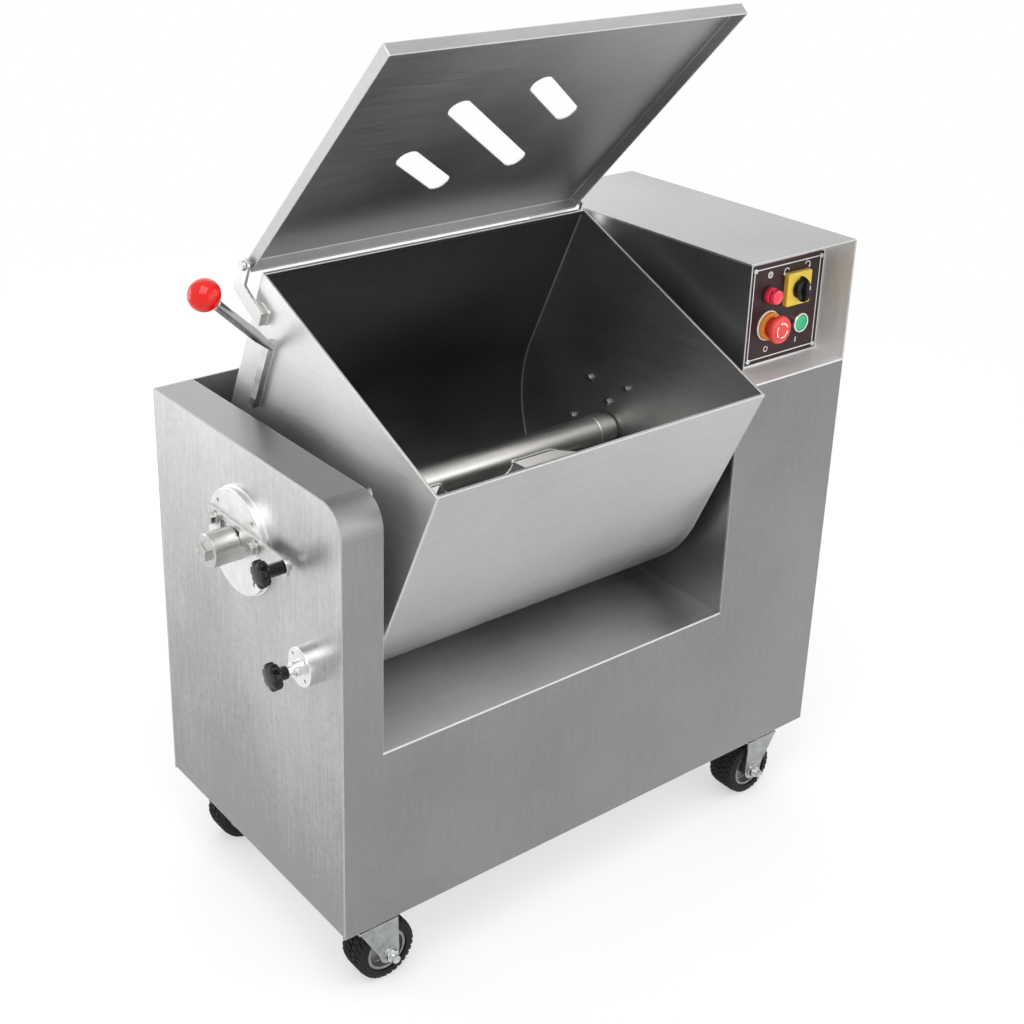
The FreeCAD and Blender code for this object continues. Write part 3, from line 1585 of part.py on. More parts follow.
# The fork's own frame has its origin on the floor under the kingpin, and trails towards +X
def build_fork(name, frame, side):
    body = new_body(f"fork_{name}")
    half_top = fork_top_length / 2
    top_start = fork_top_shift - half_top
    top_end = fork_top_shift + half_top
    top = crown_low
    trail = caster_trail
    leg = [
        (trail - fork_end_radius, wheel_height),
        ("arc", fork_end_radius, 1),
        (trail, wheel_height - fork_end_radius),
        ("arc", fork_end_radius, 1),
        (trail + fork_end_radius, wheel_height),
        (top_end, top),
        (top_start, top),
    ]
    axle_hole = ("circle", trail, wheel_height, wheel_axle_radius)
    pad(body, f"leg_near_{name}", "XZ", -fork_outer, -fork_inner, leg, axle_hole)
    pad(body, f"leg_far_{name}", "XZ", fork_inner, fork_outer, leg, axle_hole)
    crown = rectangle(top_start, top_end, -fork_outer, fork_outer)
    bore = ("circle", 0, 0, kingpin_radius + running_clearance)
    pad(body, f"crown_{name}", "XY", top - fork_wall, top, crown)
    race_top = caster_height - caster_plate_wall - seat_gap
    pad(body, f"race_{name}", "XY", top, race_top, ("circle", 0, 0, race_radius))
    pocket(body, f"kingpin_bore_{name}", "XY", top - fork_wall, race_top, bore)
    axle = new_body(f"axle_{name}")
    shank = ("circle", trail, wheel_height, wheel_axle_radius)
    nut_end = fork_outer + fork_nut_height
    head_end = fork_outer + fork_head_height
    stub_end = nut_end + fork_stub_length
    hexagonal = hexagon(trail, wheel_height, wheel_axle_radius * 1.8)
    spans = [("shank", -stub_end, head_end, shank)]
    spans.append(("nut", -nut_end, -fork_outer, hexagonal))
    spans.append(("head", fork_outer, head_end, hexagonal))
    for part, low, high, outline in spans:
        # the nut faces the cabinet's front, whichever way the fork trails
        near, far = (low, high) if side > 0 else (-high, -low)
        pad(axle, f"axle_{part}_{name}", "XZ", near, far, outline)
    turned = term(0 if side > 0 else 180)
    finish(group_of(f"fork_and_axle_{name}", [body, axle]), f"caster_fork_{name}", frame, (0, 0, 1), turned)


def build_wheel(name, frame, side):
    x = frame.x + side * caster_trail
    spin = Frame(x, frame.y, frame.z + wheel_height, None)
    half = tyre_width / 2
    seat = rim_radius
    corner = wheel_radius - tyre_round
    tyre = new_body(f"tyre_{name}")
    turn(tyre, f"tyre_turned_{name}", [
        (-half, seat),
        (-half, corner),
        ("arc", tyre_round, -1),
        (-half + tyre_round, wheel_radius),
        (half - tyre_round, wheel_radius),
        ("arc", tyre_round, -1),
        (half, corner),
        (half, seat),
    ])
    hub = new_body(f"hub_{name}")
    bore = wheel_axle_radius + running_clearance
    boss = fork_inner - seat_gap
    web = web_width / 2
    rim = rim_width / 2
    inner_rim = rim_radius - 4
    turn(hub, f"hub_turned_{name}", [
        (-boss, bore),
        (-boss, hub_radius),
        (-web, hub_radius),
        (-web, inner_rim),
        (-rim, inner_rim),
        (-rim, rim_radius),
        (rim, rim_radius),
        (rim, inner_rim),
        (web, inner_rim),
        (web, hub_radius),
        (boss, hub_radius),
        (boss, bore),
    ])
    finish(tyre, f"caster_tyre_{name}", spin, (0, 0, 1), term(90))
    finish(hub, f"caster_hub_{name}", spin, (0, 0, 1), term(90))


def build_casters():
    build_caster_plates()
    for name, x, y, side in caster_places:
        frame = Frame(middle_x + x, middle_y + y, term(0), None)
        build_fork(name, frame, side)
        build_wheel(name, frame, side)


def build_everything():
    build_base_plate()
    build_front_wrap()
    build_left_side_panel()
    build_recess_liner()
    build_tower_inner_wall()
    build_tower_cover()
    build_niche_shelf()
    build_rear_panel()
    build_service_cover()
    build_cable_gland()
    build_left_bearing_housing()
    build_left_backing_ring()
    build_bearing_bushes()
    build_right_bearing_housing()
    build_stub_shaft()
    build_stub_bolt()
    build_keeper_bar()
    build_keeper_bolts()
    build_keeper_knob()
    build_keeper_nut()
    build_plunger_housing()
    build_plunger_pin()
    build_plunger_knob()
    build_bowl_wrap()
    build_bowl_ends()
    build_trunnions()
    build_trunnion_bolts()
    build_hinge_straps()
    build_tilt_lever()
    build_lever_ball()
    build_lid_panel()
    build_hinge_pins()
    build_mixer_shaft()
    build_drive_shaft()
    build_paddles()
    build_gearbox()
    build_motor()
    build_control_plate()
    build_pilot_lamp()
    build_selector_plate()
    build_selector_knob()
    build_stop_button()
    build_start_button()
    build_casters()


def check_document():
    for item in doc.Objects:
        if "Invalid" in item.State or "Error" in item.State:
            raise RuntimeError(f"{item.Label} failed: {item.State}")
    for item in sub_parts:
        if item.Shape.isNull() or not item.Shape.isValid() or not item.Shape.Solids:
            raise RuntimeError(f"{item.Label} has no valid solid")
    for feature in cutters:
        before = feature.BaseFeature.Shape.Volume
        if feature.Shape.Volume > before - 0.001:
            raise RuntimeError(f"{feature.Name} cuts nothing")


def write_steps():
    os.makedirs("parts", exist_ok=True)
    for item in sub_parts:
        item.Shape.exportStep(f"parts/{item.Label}.step")


build_everything()
doc.recompute()
check_document()
write_steps()
print(f"{len(sub_parts)} sub-parts written")
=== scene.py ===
import math
import random
import bmesh
import bpy
from mathutils import Matrix, Vector

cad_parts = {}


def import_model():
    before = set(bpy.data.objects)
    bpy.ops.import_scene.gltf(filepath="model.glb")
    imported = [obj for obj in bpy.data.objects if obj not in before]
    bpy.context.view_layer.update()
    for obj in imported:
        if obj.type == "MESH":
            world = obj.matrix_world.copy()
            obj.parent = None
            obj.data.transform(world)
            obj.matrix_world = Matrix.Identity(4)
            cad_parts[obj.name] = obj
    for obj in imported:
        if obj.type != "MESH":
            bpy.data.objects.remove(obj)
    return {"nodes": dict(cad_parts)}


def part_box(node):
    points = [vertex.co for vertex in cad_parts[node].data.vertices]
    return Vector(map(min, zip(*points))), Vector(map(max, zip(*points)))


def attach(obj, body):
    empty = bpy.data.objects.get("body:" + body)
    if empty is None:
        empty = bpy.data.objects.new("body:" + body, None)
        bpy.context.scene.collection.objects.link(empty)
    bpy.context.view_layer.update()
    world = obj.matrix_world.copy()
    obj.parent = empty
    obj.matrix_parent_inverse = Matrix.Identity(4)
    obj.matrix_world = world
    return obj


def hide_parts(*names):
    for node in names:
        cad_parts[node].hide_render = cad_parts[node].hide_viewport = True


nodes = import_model()["nodes"]
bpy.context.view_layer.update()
print("frame loaded:", len(nodes), "nodes")
mm = 0.001
corners = ("front_left", "front_right", "rear_left", "rear_right")


def middleOf(node):
    low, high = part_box(node)
    return (Vector(low) + Vector(high)) / 2


# the bowl's own frame: middle plane of the axle, leaned forward by its tilt at rest
axle = middleOf("mixer_shaft")
bowlTilt = math.radians(24.1)
bowlSpace = Matrix.Translation(Vector((0, axle.y, axle.z))) @ Matrix.Rotation(bowlTilt, 4, "X")


# colours are written as sRGB hex and turned to linear here
def linear(code):
    values = [int(code[place:place + 2], 16) / 255 for place in (1, 3, 5)]
    return [value / 12.92 if value <= 0.04045 else ((value + 0.055) / 1.055) ** 2.4 for value in values] + [1.0]


# a value that comes from another node is linked, any other is set
def addNode(tree, kind, values=None):
    node = tree.nodes.new(kind)
    for name, value in (values or {}).items():
        if isinstance(value, bpy.types.NodeSocket):
            tree.links.new(value, node.inputs[name])
        elif isinstance(name, int) or name in node.inputs:
            node.inputs[name].default_value = value
        else:
            setattr(node, name, value)
    return node


def newMaterial(name, settings):
    material = bpy.data.materials.new(name)
    material.use_nodes = True
    tree = material.node_tree
    shader = tree.nodes["Principled BSDF"]
    for key, value in settings.items():
        shader.inputs[key].default_value = value
    return material, tree, shader


def maths(tree, operation, first, second):
    return addNode(tree, "ShaderNodeMath", {"operation": operation, 0: first, 1: second}).outputs[0]


def vectorMaths(tree, operation, *values, output=0):
    return addNode(tree, "ShaderNodeVectorMath", {"operation": operation, **dict(enumerate(values))}).outputs[output]


def add(tree, total, *others):
    for other in others:
        total = maths(tree, "ADD", total, other)
    return total


def blendColour(tree, amount, first, second):
    return addNode(tree, "ShaderNodeMix", {"data_type": "RGBA", 0: amount, 6: first, 7: second}).outputs[2]


def spread(tree, value, low, high, newLow, newHigh):
    return addNode(tree, "ShaderNodeMapRange", {0: value, 1: low, 2: high, 3: newLow, 4: newHigh}).outputs[0]


# noise whose features are size mm wide
def noiseAt(tree, place, size, detail, roughness=0.5):
    values = {"Scale": 1 / (size * mm), "Detail": detail, "Roughness": roughness, "Vector": place}
    return addNode(tree, "ShaderNodeTexNoise", values).outputs[0]


# noise keeps to the middle of its range: this stretches its 0.3 to 0.7
def noiseSpread(tree, noise, newLow, newHigh):
    return spread(tree, noise, 0.3, 0.7, newLow, newHigh)


# Object coordinates are metres in the part's frame, for the tyres round their own middle
def placeOn(tree):
    return addNode(tree, "ShaderNodeTexCoord").outputs["Object"]


# where a sharp edge is painted brighter: partly wear from sanding and handling, partly a painted highlight along the
# edge
def rubbedAndHighlitEdges(tree, radius):
    rounded = addNode(tree, "ShaderNodeBevel", {"samples": 4, "Radius": radius * mm}).outputs[0]
    plain = addNode(tree, "ShaderNodeNewGeometry").outputs["Normal"]
    same = vectorMaths(tree, "DOT_PRODUCT", rounded, plain, output="Value")
    return spread(tree, same, 0.995, 0.80, 0.0, 1.0), rounded


# the side of a sheet that faces the middle of what it encloses
def facesMiddle(tree, place, middle, counted):
    offset = vectorMaths(tree, "MULTIPLY", vectorMaths(tree, "SUBTRACT", place, middle), counted)
    normal = addNode(tree, "ShaderNodeTexCoord").outputs["Normal"]
    return maths(tree, "LESS_THAN", vectorMaths(tree, "DOT_PRODUCT", offset, normal, output="Value"), -0.001)


# what every material ends with: tone from dark to light, rubbed edges painted brighter as wear and as a painted
# highlight, gloss and a fine unevenness, sizes in mm
def finishShader(tree, shader, look, colour, rough, height):
    worn, roundedNormal = rubbedAndHighlitEdges(tree, look["edge"])
    colour = blendColour(tree, maths(tree, "MULTIPLY", worn, look["wear"]), colour, linear(look["worn"]))
    tree.links.new(colour, shader.inputs["Base Color"])
    tree.links.new(add(tree, rough, look["rough"]), shader.inputs["Roughness"])
    bump = addNode(tree, "ShaderNodeBump", {"Strength": look["bump"], "Distance": look["depth"] * mm,
                                            "Height": height, "Normal": roundedNormal})
    tree.links.new(bump.outputs[0], shader.inputs["Normal"])


def toneColour(tree, look, tone):
    return blendColour(tree, tone, linear(look["dark"]), linear(look["light"]))


# stainless steel 304, sanded with a fine belt: straight grain, soft clouds and small mottles of tone, bright edges that
# are partly wear and partly a painted highlight.
# streak is how many times longer than wide the grain is. The real grain is 0.1 to 0.3 mm wide, too fine to show, so
# it is drawn 1.0 to 1.3 mm wide.
steelLook = {"dark": "#7f7f80", "light": "#999998", "rough": 0.38, "grain": 1.3, "streak": 60, "cloud": 240,
             "mottle": 9, "along": "Z", "edge": 1.4, "wear": 1.0, "worn": "#f2f2f2", "bump": 0.08, "depth": 0.12}


def sandedSteel(name, **changes):
    look = {**steelLook, **changes}
    material, tree, shader = newMaterial("stainless steel, " + name, {"Metallic": 1.0})
    place = placeOn(tree)
    across = 1 / (look["grain"] * mm)
    scale = [across, across, across]
    scale["XYZ".index(look["along"])] = across / look["streak"]
    stretched = addNode(tree, "ShaderNodeMapping", {"Scale": scale, "Vector": place}).outputs[0]
    grain = addNode(tree, "ShaderNodeTexNoise", {"Scale": 1.0, "Detail": 3.0, "Vector": stretched}).outputs[0]
    clouds = noiseAt(tree, place, look["cloud"], 2.0)
    mottle = noiseAt(tree, place, look["mottle"], 4.0, 0.7)
    tone = add(tree, noiseSpread(tree, grain, 0, 0.36), noiseSpread(tree, clouds, 0, 0.42),
               noiseSpread(tree, mottle, 0, 0.22))
    # painted light and shade: the tone is lowered towards the floor and raised towards the top, between the two heights
    # given
    if "duller" in look:
        height = addNode(tree, "ShaderNodeSeparateXYZ", {"Vector": place}).outputs["Z"]
        tone = add(tree, tone, spread(tree, height, *look["duller"], -0.5, 0.5))
    colour = toneColour(tree, look, tone)
    rough = add(tree, noiseSpread(tree, grain, -0.05, 0.05), noiseSpread(tree, clouds, -0.05, 0.05))
    # painted light and shade: the side of a sheet that faces its middle takes other colours, painted paler in the
    # tower's niche and painted darker inside the bowl
    if "inside" in look:
        inside = facesMiddle(tree, place, look["middle"], look["counted"])
        paintedInsideLightAndShade = blendColour(tree, tone, *[linear(code) for code in look["inside"]])
        colour = blendColour(tree, inside, colour, paintedInsideLightAndShade)
        rough = add(tree, rough, maths(tree, "MULTIPLY", inside, look["insideRough"]))
    finishShader(tree, shader, look, colour, rough, grain)
    return material


# steel turned on a lathe: rings round its own axis that catch the light, near white on its faces
turnedLook = {"dark": "#d2d2d1", "light": "#f2f2f1", "rough": 0.32, "ring": 0.9, "cloud": 18,
              "edge": 0.7, "wear": 1.0, "worn": "#f4f4f4", "bump": 0.12, "depth": 0.1}


def turnedSteel(name, centre, **changes):
    look = {**turnedLook, **changes}
    material, tree, shader = newMaterial("stainless steel, " + name, {"Metallic": 1.0})
    place = placeOn(tree)
    flat = vectorMaths(tree, "MULTIPLY", vectorMaths(tree, "SUBTRACT", place, centre), (0, 1, 1))
    radius = vectorMaths(tree, "LENGTH", flat, output="Value")
    values = {"noise_dimensions": "1D", "Scale": 1 / (look["ring"] * mm), "Detail": 3.0, "W": radius}
    rings = addNode(tree, "ShaderNodeTexNoise", values).outputs[0]
    clouds = noiseAt(tree, place, look["cloud"], 3.0)
    tone = add(tree, noiseSpread(tree, rings, 0, 0.5), noiseSpread(tree, clouds, 0, 0.5))
    finishShader(tree, shader, look, toneColour(tree, look, tone), noiseSpread(tree, rings, -0.04, 0.04), rings)
    return material


# plated, cast or polished metal: cloudy blooms in tone and gloss, as of handling, over a fine unevenness
platedLook = {"bloom": 14, "fine": 1.5, "edge": 0.8, "wear": 1.0, "worn": "#e8e8e6", "bump": 0.06, "depth": 0.1}


def platedMetal(name, dark, light, rough):
    look = {**platedLook, "dark": dark, "light": light, "rough": rough}
    material, tree, shader = newMaterial(name, {"Metallic": 1.0})
    place = placeOn(tree)
    bloom = noiseAt(tree, place, look["bloom"], 5.0, 0.65)
    fine = noiseAt(tree, place, look["fine"], 2.0)
    colour = toneColour(tree, look, noiseSpread(tree, bloom, 0, 1))
    finishShader(tree, shader, look, colour, noiseSpread(tree, bloom, -0.08, 0.08), fine)
    return material


# moulded plastics, paints and rubber: fine grain of the mould or spray, slight change of tone, worn edges
mouldedLook = {"dark": "#0b0b0c", "light": "#161617", "rough": 0.30, "grain": 0.8, "cloud": 20,
               "edge": 0.6, "wear": 0.4, "worn": "#4a4a4c", "bump": 0.1, "depth": 0.1}


def mouldedFinish(name, settings, **changes):
    look = {**mouldedLook, **changes}
    material, tree, shader = newMaterial(name, settings)
    place = placeOn(tree)
    fine = noiseAt(tree, place, look["grain"], 3.0)
    clouds = noiseAt(tree, place, look["cloud"], 3.0)
    tone = add(tree, noiseSpread(tree, fine, 0, 0.4), noiseSpread(tree, clouds, 0, 0.6))
    finishShader(tree, shader, look, toneColour(tree, look, tone), noiseSpread(tree, clouds, -0.05, 0.05), fine)
    return material


# front and back sheets: mid grey, an upright grain draws reflections out into soft columns
cabinetSteel = sandedSteel("sanded upright")
# the sheets on the two sides: painted paler than the front and back sheets, as painted light from the side, and darker
# towards the floor and lighter towards the top, as painted shade and light
sidePaintedLightSteel = sandedSteel("side sheets, painted light and shade", dark="#929292", light="#d6d6d5", rough=0.42, cloud=320,
                        duller=(0.12, 0.80))
# the tower's cover: a wide soft shine on the roof; the faces inside the niche are painted nearly white, as painted
# light
towerNichePaintedLightSteel = sandedSteel("tower cover, niche painted light", dark="#a6a6a6", light="#c4c4c3", rough=0.42, cloud=320,
                         inside=("#e2e2e2", "#f4f4f3"), middle=middleOf("tower_cover"), counted=(1, 0, 1),
                         insideRough=0.22)
# walls of the recess: a clear sheen that dies away into the corners
innerSteel = sandedSteel("inner walls", dark="#a4a4a4", light="#c2c2c1", rough=0.36)
# level sheets: painted pale as painted light, silky, grain along the machine
levelPaintedLightSteel = sandedSteel("sanded level, painted light", along="X", dark="#cecece", light="#e6e6e5", rough=0.46)
# shelf in the niche: painted nearly white and matt as painted light, so the niche reads lighter than the sheets round
# it
shelfPaintedLightSteel = sandedSteel("niche shelf, painted light", along="X", dark="#dcdcdc", light="#f0f0ef", rough=0.64)
# bowl sheet: bright outside with a shine that wraps the bend; the inner side is painted dark, as painted shade, and the
# wide bright rims are partly a painted highlight
bowlPaintedShadeSteel = sandedSteel("bowl", along="X", dark="#aaaaa9", light="#c8c8c7", rough=0.34, edge=2.4,
                        inside=("#6e6e6e", "#8c8c8b"), middle=axle, counted=(0, 1, 1), insideRough=0.06)
# left end: painted pale as painted light, grain across the plate
leftEndPaintedLightSteel = sandedSteel("bowl's left end, painted light", along="Y", dark="#c2c2c1", light="#dededd", rough=0.42, edge=2.0)
# right end: painted darker and flatter as painted shade, as it is seen from inside
rightEndPaintedShadeSteel = sandedSteel("bowl's right end, painted shade", along="Y", dark="#8e8e8e", light="#acacab", rough=0.46, edge=2.4)
# lid: a dull sheen, with a bright line painted along its turned edge, partly wear and partly a painted highlight
lidSteel = sandedSteel("lid", along="X", dark="#a0a0a0", light="#bcbcbc", rough=0.50, edge=2.4)
# mixing shaft: bright and slightly warm, with a long highlight along the tube
tubeSteel = sandedSteel("mixing shaft", along="X", dark="#cbc9c6", light="#eae8e4", rough=0.34, grain=1.0)
# ploughs: as the shaft, more worn and a little duller
paddleSteel = sandedSteel("ploughs", along="X", dark="#c4c2c0", light="#e6e4e1", rough=0.38)
# flat bars: smooth and glossy, with a narrow bright edge, partly wear and partly a painted highlight
flatBarSteel = sandedSteel("flat bar", dark="#b4b4b3", light="#d6d6d5", rough=0.30, edge=0.8)

# turned flanges: near white faces with rings that flash when the light moves
plungerAxis = middleOf("plunger_pin")
turnedOnAxle = turnedSteel("turned on the shaft's axis", axle)
turnedOnPlunger = turnedSteel("turned plunger seat", plungerAxis)
# the stub shaft: the same rings on greyer bar stock
bossSteel = turnedSteel("turned boss", axle, dark="#a8a8a6", light="#d0d0ce")
# lever: polished by hands, sharp light and dark stripes along the bar
leverSteel = platedMetal("stainless steel, polished lever", "#c4c4c3", "#e2e2e1", 0.17)
# bolts: small hard highlights
boltSteel = platedMetal("stainless steel bolts", "#9d9d9b", "#d2d2d0", 0.28)
# caster forks and plates: pressed and zinc plated, cool grey with dull blooms
casterZinc = platedMetal("zinc plated caster steel", "#8b8d8e", "#b4b6b6", 0.38)
# axle nuts: new bright plating that sparkles against the fork
nutZinc = platedMetal("zinc plated nuts, bright", "#a4a6a8", "#dcdee0", 0.18)
# wheel centres: cast, grey and flat
wheelZinc = platedMetal("cast wheel centre", "#7c7d7e", "#a4a6a7", 0.45)
# bushes: warm brown gold, dull from its pores
bronze = platedMetal("sintered bronze bush", "#7a5a30", "#a37d47", 0.45)
# bezel: a mirror with a dark and a white ring in it
chrome = platedMetal("chromium plated brass", "#cfcfd0", "#ececed", 0.12)

# knobs: deep black with a small soft highlight on each lobe
phenolicBlack = mouldedFinish("phenolic resin, moulded black", {"Specular IOR Level": 0.32},
                              dark="#060607", light="#0e0e0f", worn="#333335", rough=0.22)
# gland and lamp seat: flat black
nylonBlack = mouldedFinish("nylon, moulded black", {}, rough=0.5, wear=0.2)
# lever's ball: polished saturated red with round reflections of the lamps
ballRed = mouldedFinish("phenolic resin, red ball", {"Specular IOR Level": 0.40},
                        dark="#c80904", light="#da130a", worn="#ec5040", rough=0.08, bump=0.01)
# stop button: satin red, with its rims painted paler
stopRed = mouldedFinish("ABS, moulded red", {}, dark="#cf2a26", light="#e2443c", worn="#f5938c", rough=0.38, wear=0.8,
                        edge=1.4)
# pilot lens: clear coated pinkish red with a faint glow from inside
lampGlow = {"Coat Weight": 0.7, "Coat Roughness": 0.08, "Emission Color": linear("#ff1440"), "Emission Strength": 0.12}
lampRed = mouldedFinish("polycarbonate lens, red", lampGlow,
                        dark="#c90a34", light="#ea1244", worn="#ff6c8c", rough=0.18, bump=0.03)
# start button: clear coated green
startGreen = mouldedFinish("polycarbonate lens, green", {"Coat Weight": 0.4, "Coat Roughness": 0.1},
                           dark="#00a169", light="#06bd7d", worn="#73e0b8", rough=0.30, bump=0.03)
# stop button's collar: satin orange
collarOrange = mouldedFinish("ABS, moulded orange", {}, dark="#d9791f", light="#ef9a3c", worn="#ffd6a0", rough=0.38,
                             wear=0.8)
# selector's plate: satin yellow with a pale edge all round
plateYellow = mouldedFinish("ABS, moulded yellow", {}, dark="#dcb82f", light="#efd357", worn="#fff0a8", rough=0.38,
                            wear=0.7, edge=1.0)
# control plate: near black with a warm brown cast, a soft sheen and no sparkle
panelBrown = mouldedFinish("anodised aluminium plate, dark brown", {"Specular IOR Level": 0.25},
                           dark="#2c191d", light="#3d262a", worn="#6a5a5c", rough=0.40, grain=1.2)
# printed lines and marks: flat off white; the same white is used for a painted highlight on the stop collar's rim and a
# painted reflection on the start bezel's face
printAndPaintedHighlightWhite = mouldedFinish("screen ink and painted highlights, white", {}, dark="#dedcda", light="#f6f5f3", worn="#ffffff", rough=0.5,
                           bump=0.02)
# tyres: matt charcoal, dusty where the blocks' edges scrub the floor
tyreRubber = mouldedFinish("tyre rubber, moulded black", {"Specular IOR Level": 0.25}, dark="#080809", light="#1d1c1b",
                           worn="#6d6964", rough=0.70, grain=1.2, cloud=9, wear=0.6, bump=0.35)
# gearbox and motor: blue grey with the pebbles of hammered enamel
drivePaint = mouldedFinish("hammered enamel, blue grey", {}, dark="#39434b", light="#4c5861", worn="#8a949b",
                           rough=0.42, grain=2.2, bump=0.35)
print("materials made")

nodeFinishes = {
    cabinetSteel: ["front_wrap", "rear_panel", "service_cover"],
    sidePaintedLightSteel: ["left_side_panel"],
    towerNichePaintedLightSteel: ["tower_cover"],
    shelfPaintedLightSteel: ["niche_shelf"],
    leverSteel: ["tilt_lever"],
    innerSteel: ["tower_inner_wall", "trunnions"],
    levelPaintedLightSteel: ["base_plate", "recess_liner"],
    bowlPaintedShadeSteel: ["bowl_wrap"],
    leftEndPaintedLightSteel: ["bowl_left_end"],
    rightEndPaintedShadeSteel: ["bowl_right_end"],
    lidSteel: ["lid_panel"],
    tubeSteel: ["mixer_shaft", "drive_shaft"],
    paddleSteel: ["paddles"],
    flatBarSteel: ["keeper_bar", "hinge_straps"],
    turnedOnAxle: ["left_bearing_housing", "left_backing_ring", "right_bearing_housing"],
    bossSteel: ["stub_shaft"],
    turnedOnPlunger: ["plunger_housing", "plunger_pin"],
    boltSteel: ["stub_bolt", "keeper_bolts", "keeper_nut", "trunnion_bolts", "hinge_pins"],
    bronze: ["bearing_bushes"],
    casterZinc: ["caster_plates"] + [f"caster_fork_{corner}" for corner in corners],
    wheelZinc: [f"caster_hub_{corner}" for corner in corners],
    tyreRubber: [f"caster_tyre_{corner}" for corner in corners],
    phenolicBlack: ["keeper_knob", "plunger_knob", "selector_knob"],
    nylonBlack: ["cable_gland"],
    ballRed: ["lever_ball"],
    stopRed: ["stop_head"],
    lampRed: ["pilot_lamp"],
    startGreen: ["start_cap"],
    chrome: ["start_bezel"],
    collarOrange: ["stop_collar"],
    plateYellow: ["selector_plate"],
    panelBrown: ["control_plate"],
    drivePaint: ["gearbox", "motor"],
}
for material, names in nodeFinishes.items():
    for name in names:
        nodes[name].data.materials.clear()
        nodes[name].data.materials.append(material)
print("nodes finished")


# rings and outlines are in mm, and loft places them in metres
def around(count):
    return [2 * math.pi * step / count for step in range(count)]


def pointAt(radius, turn, height):
    return Vector((radius * math.cos(turn), radius * math.sin(turn), height))


def circle(radius, height, count=48):
    return [pointAt(radius, turn, height) for turn in around(count)]


def hexagonRing(halfWidth, height, count=48):
    reaches = [halfWidth / math.cos((turn % (math.pi / 3)) - math.pi / 6) for turn in around(count)]
    return [pointAt(reach, turn, height) for reach, turn in zip(reaches, around(count))]


def outlineRing(outline, height, scale=(1.0, 1.0)):
    return [Vector((x * scale[0], y * scale[1], height)) for x, y in outline]


# skin a row of rings, a ring of one point closes an end
def loft(work, rings, space, closed=False):
    made = [[work.verts.new(space @ (point * mm)) for point in ring] for ring in rings]
    pairs = list(zip(made, made[1:])) + ([(made[-1], made[0])] if closed else [])
    for lower, upper in pairs:
        count = max(len(lower), len(upper))
        for step in range(count):
            after = (step + 1) % count
            points = [lower[step % len(lower)], lower[after % len(lower)],
                      upper[after % len(upper)], upper[step % len(upper)]]
            kept = [point for place, point in enumerate(points) if point not in points[:place]]
            if len(kept) > 2:
                work.faces.new(kept)
    return made


def cap(work, ring):
    work.faces.new(ring)


def lathe(work, profile, space, count=48):
    axisPoint = 0.001
    loft(work, [[Vector((0, 0, height))] if radius < axisPoint else circle(radius, height, count)
                for radius, height in profile], space)


def roundedSquare(half, corner, steps=6):
    points = []
    for signX, signY, start in ((1, 1, 0), (-1, 1, 90), (-1, -1, 180), (1, -1, 270)):
        for step in range(steps + 1):
            turn = math.radians(start + 90 * step / steps)
            points.append((signX * (half - corner) + corner * math.cos(turn),
                           signY * (half - corner) + corner * math.sin(turn)))
    return points


# a flat plate whose upper edge is chamfered, inset is the scale of its top face
def plate(work, outline, low, high, space, chamfer, inset=(1.0, 1.0)):
    rings = [outlineRing(outline, low), outlineRing(outline, high - chamfer), outlineRing(outline, high, inset)]
    made = loft(work, rings, space)
    cap(work, made[0])
    cap(work, made[-1])


# local Z points outward and local Y along up
def facing(origin, outward, up=(0, 0, 1)):
    out = Vector(outward).normalized()
    side = Vector(up).cross(out).normalized()
    upright = out.cross(side)
    turn = Matrix((side, upright, out)).transposed().to_4x4()
    return Matrix.Translation(Vector(origin)) @ turn


def newMesh(name, material, build, sharp):
    work = bmesh.new()
    build(work)
    bmesh.ops.recalc_face_normals(work, faces=work.faces)
    mesh = bpy.data.meshes.new(name)
    work.to_mesh(mesh)
    work.free()
    mesh.materials.append(material)
    for face in mesh.polygons:
        face.use_smooth = True
    mesh.set_sharp_from_angle(angle=math.radians(sharp))
    return mesh


def addPiece(name, mesh, body, replaced=()):
    piece = bpy.data.objects.new(name, mesh)
    bpy.context.scene.collection.objects.link(piece)
    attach(piece, body)
    if replaced:
        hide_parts(*replaced)
    return piece


def newPiece(name, material, body, build, replaced=(), sharp=38):
    return addPiece(name, newMesh(name, material, build, sharp), body, replaced)


# star knobs: seven rounded lobes with narrow notches, a domed face and a round neck.
# under and dome are pairs of scale and height, dome is measured down from the face.
knobLook = {"radius": 17.5, "notch": 4.6, "notchShare": 0.62, "lobes": 7, "count": 112, "head": 12.5, "neck": 8.4,
            "under": ((0.72, 0), (0.90, 0.3), (0.97, 1.2), (1.0, 2.8)),
            "dome": ((1.0, 4.4), (0.985, 3.0), (0.94, 2.0), (0.86, 1.35), (0.6, 0.6), (0.3, 0.15))}


def lobedRing(scale, height):
    points = []
    for turn in around(knobLook["count"]):
        phase = (turn * knobLook["lobes"] / (2 * math.pi)) % 1.0
        near = min(1.0, min(phase, 1 - phase) * 2 / knobLook["notchShare"])
        depth = knobLook["notch"] * (1 - near * near * (3 - 2 * near)) * scale ** 3
        points.append(pointAt((knobLook["radius"] - depth) * scale, turn, height))
    return points


def addStarKnob(name, node, place, body):
    low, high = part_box(node)
    length = (high[0] - low[0]) / mm
    space = facing((high[0], place.y, place.z), (-1, 0, 0))
    foot, neck = length - knobLook["head"], knobLook["neck"]
    profile = ((neck - 1.0, 0), (neck - 0.4, 0.6), (neck, 1.6), (neck, foot - 1.2), (neck + 1.0, foot - 0.2))
    rings = [circle(radius, height, knobLook["count"]) for radius, height in profile]
    rings += [lobedRing(scale, foot + height) for scale, height in knobLook["under"]]
    rings += [lobedRing(scale, length - height) for scale, height in knobLook["dome"]]
    rings.append([Vector((0, 0, length))])
    newPiece(name, phenolicBlack, body, lambda work: cap(work, loft(work, rings, space)[0]), (node,), 50)


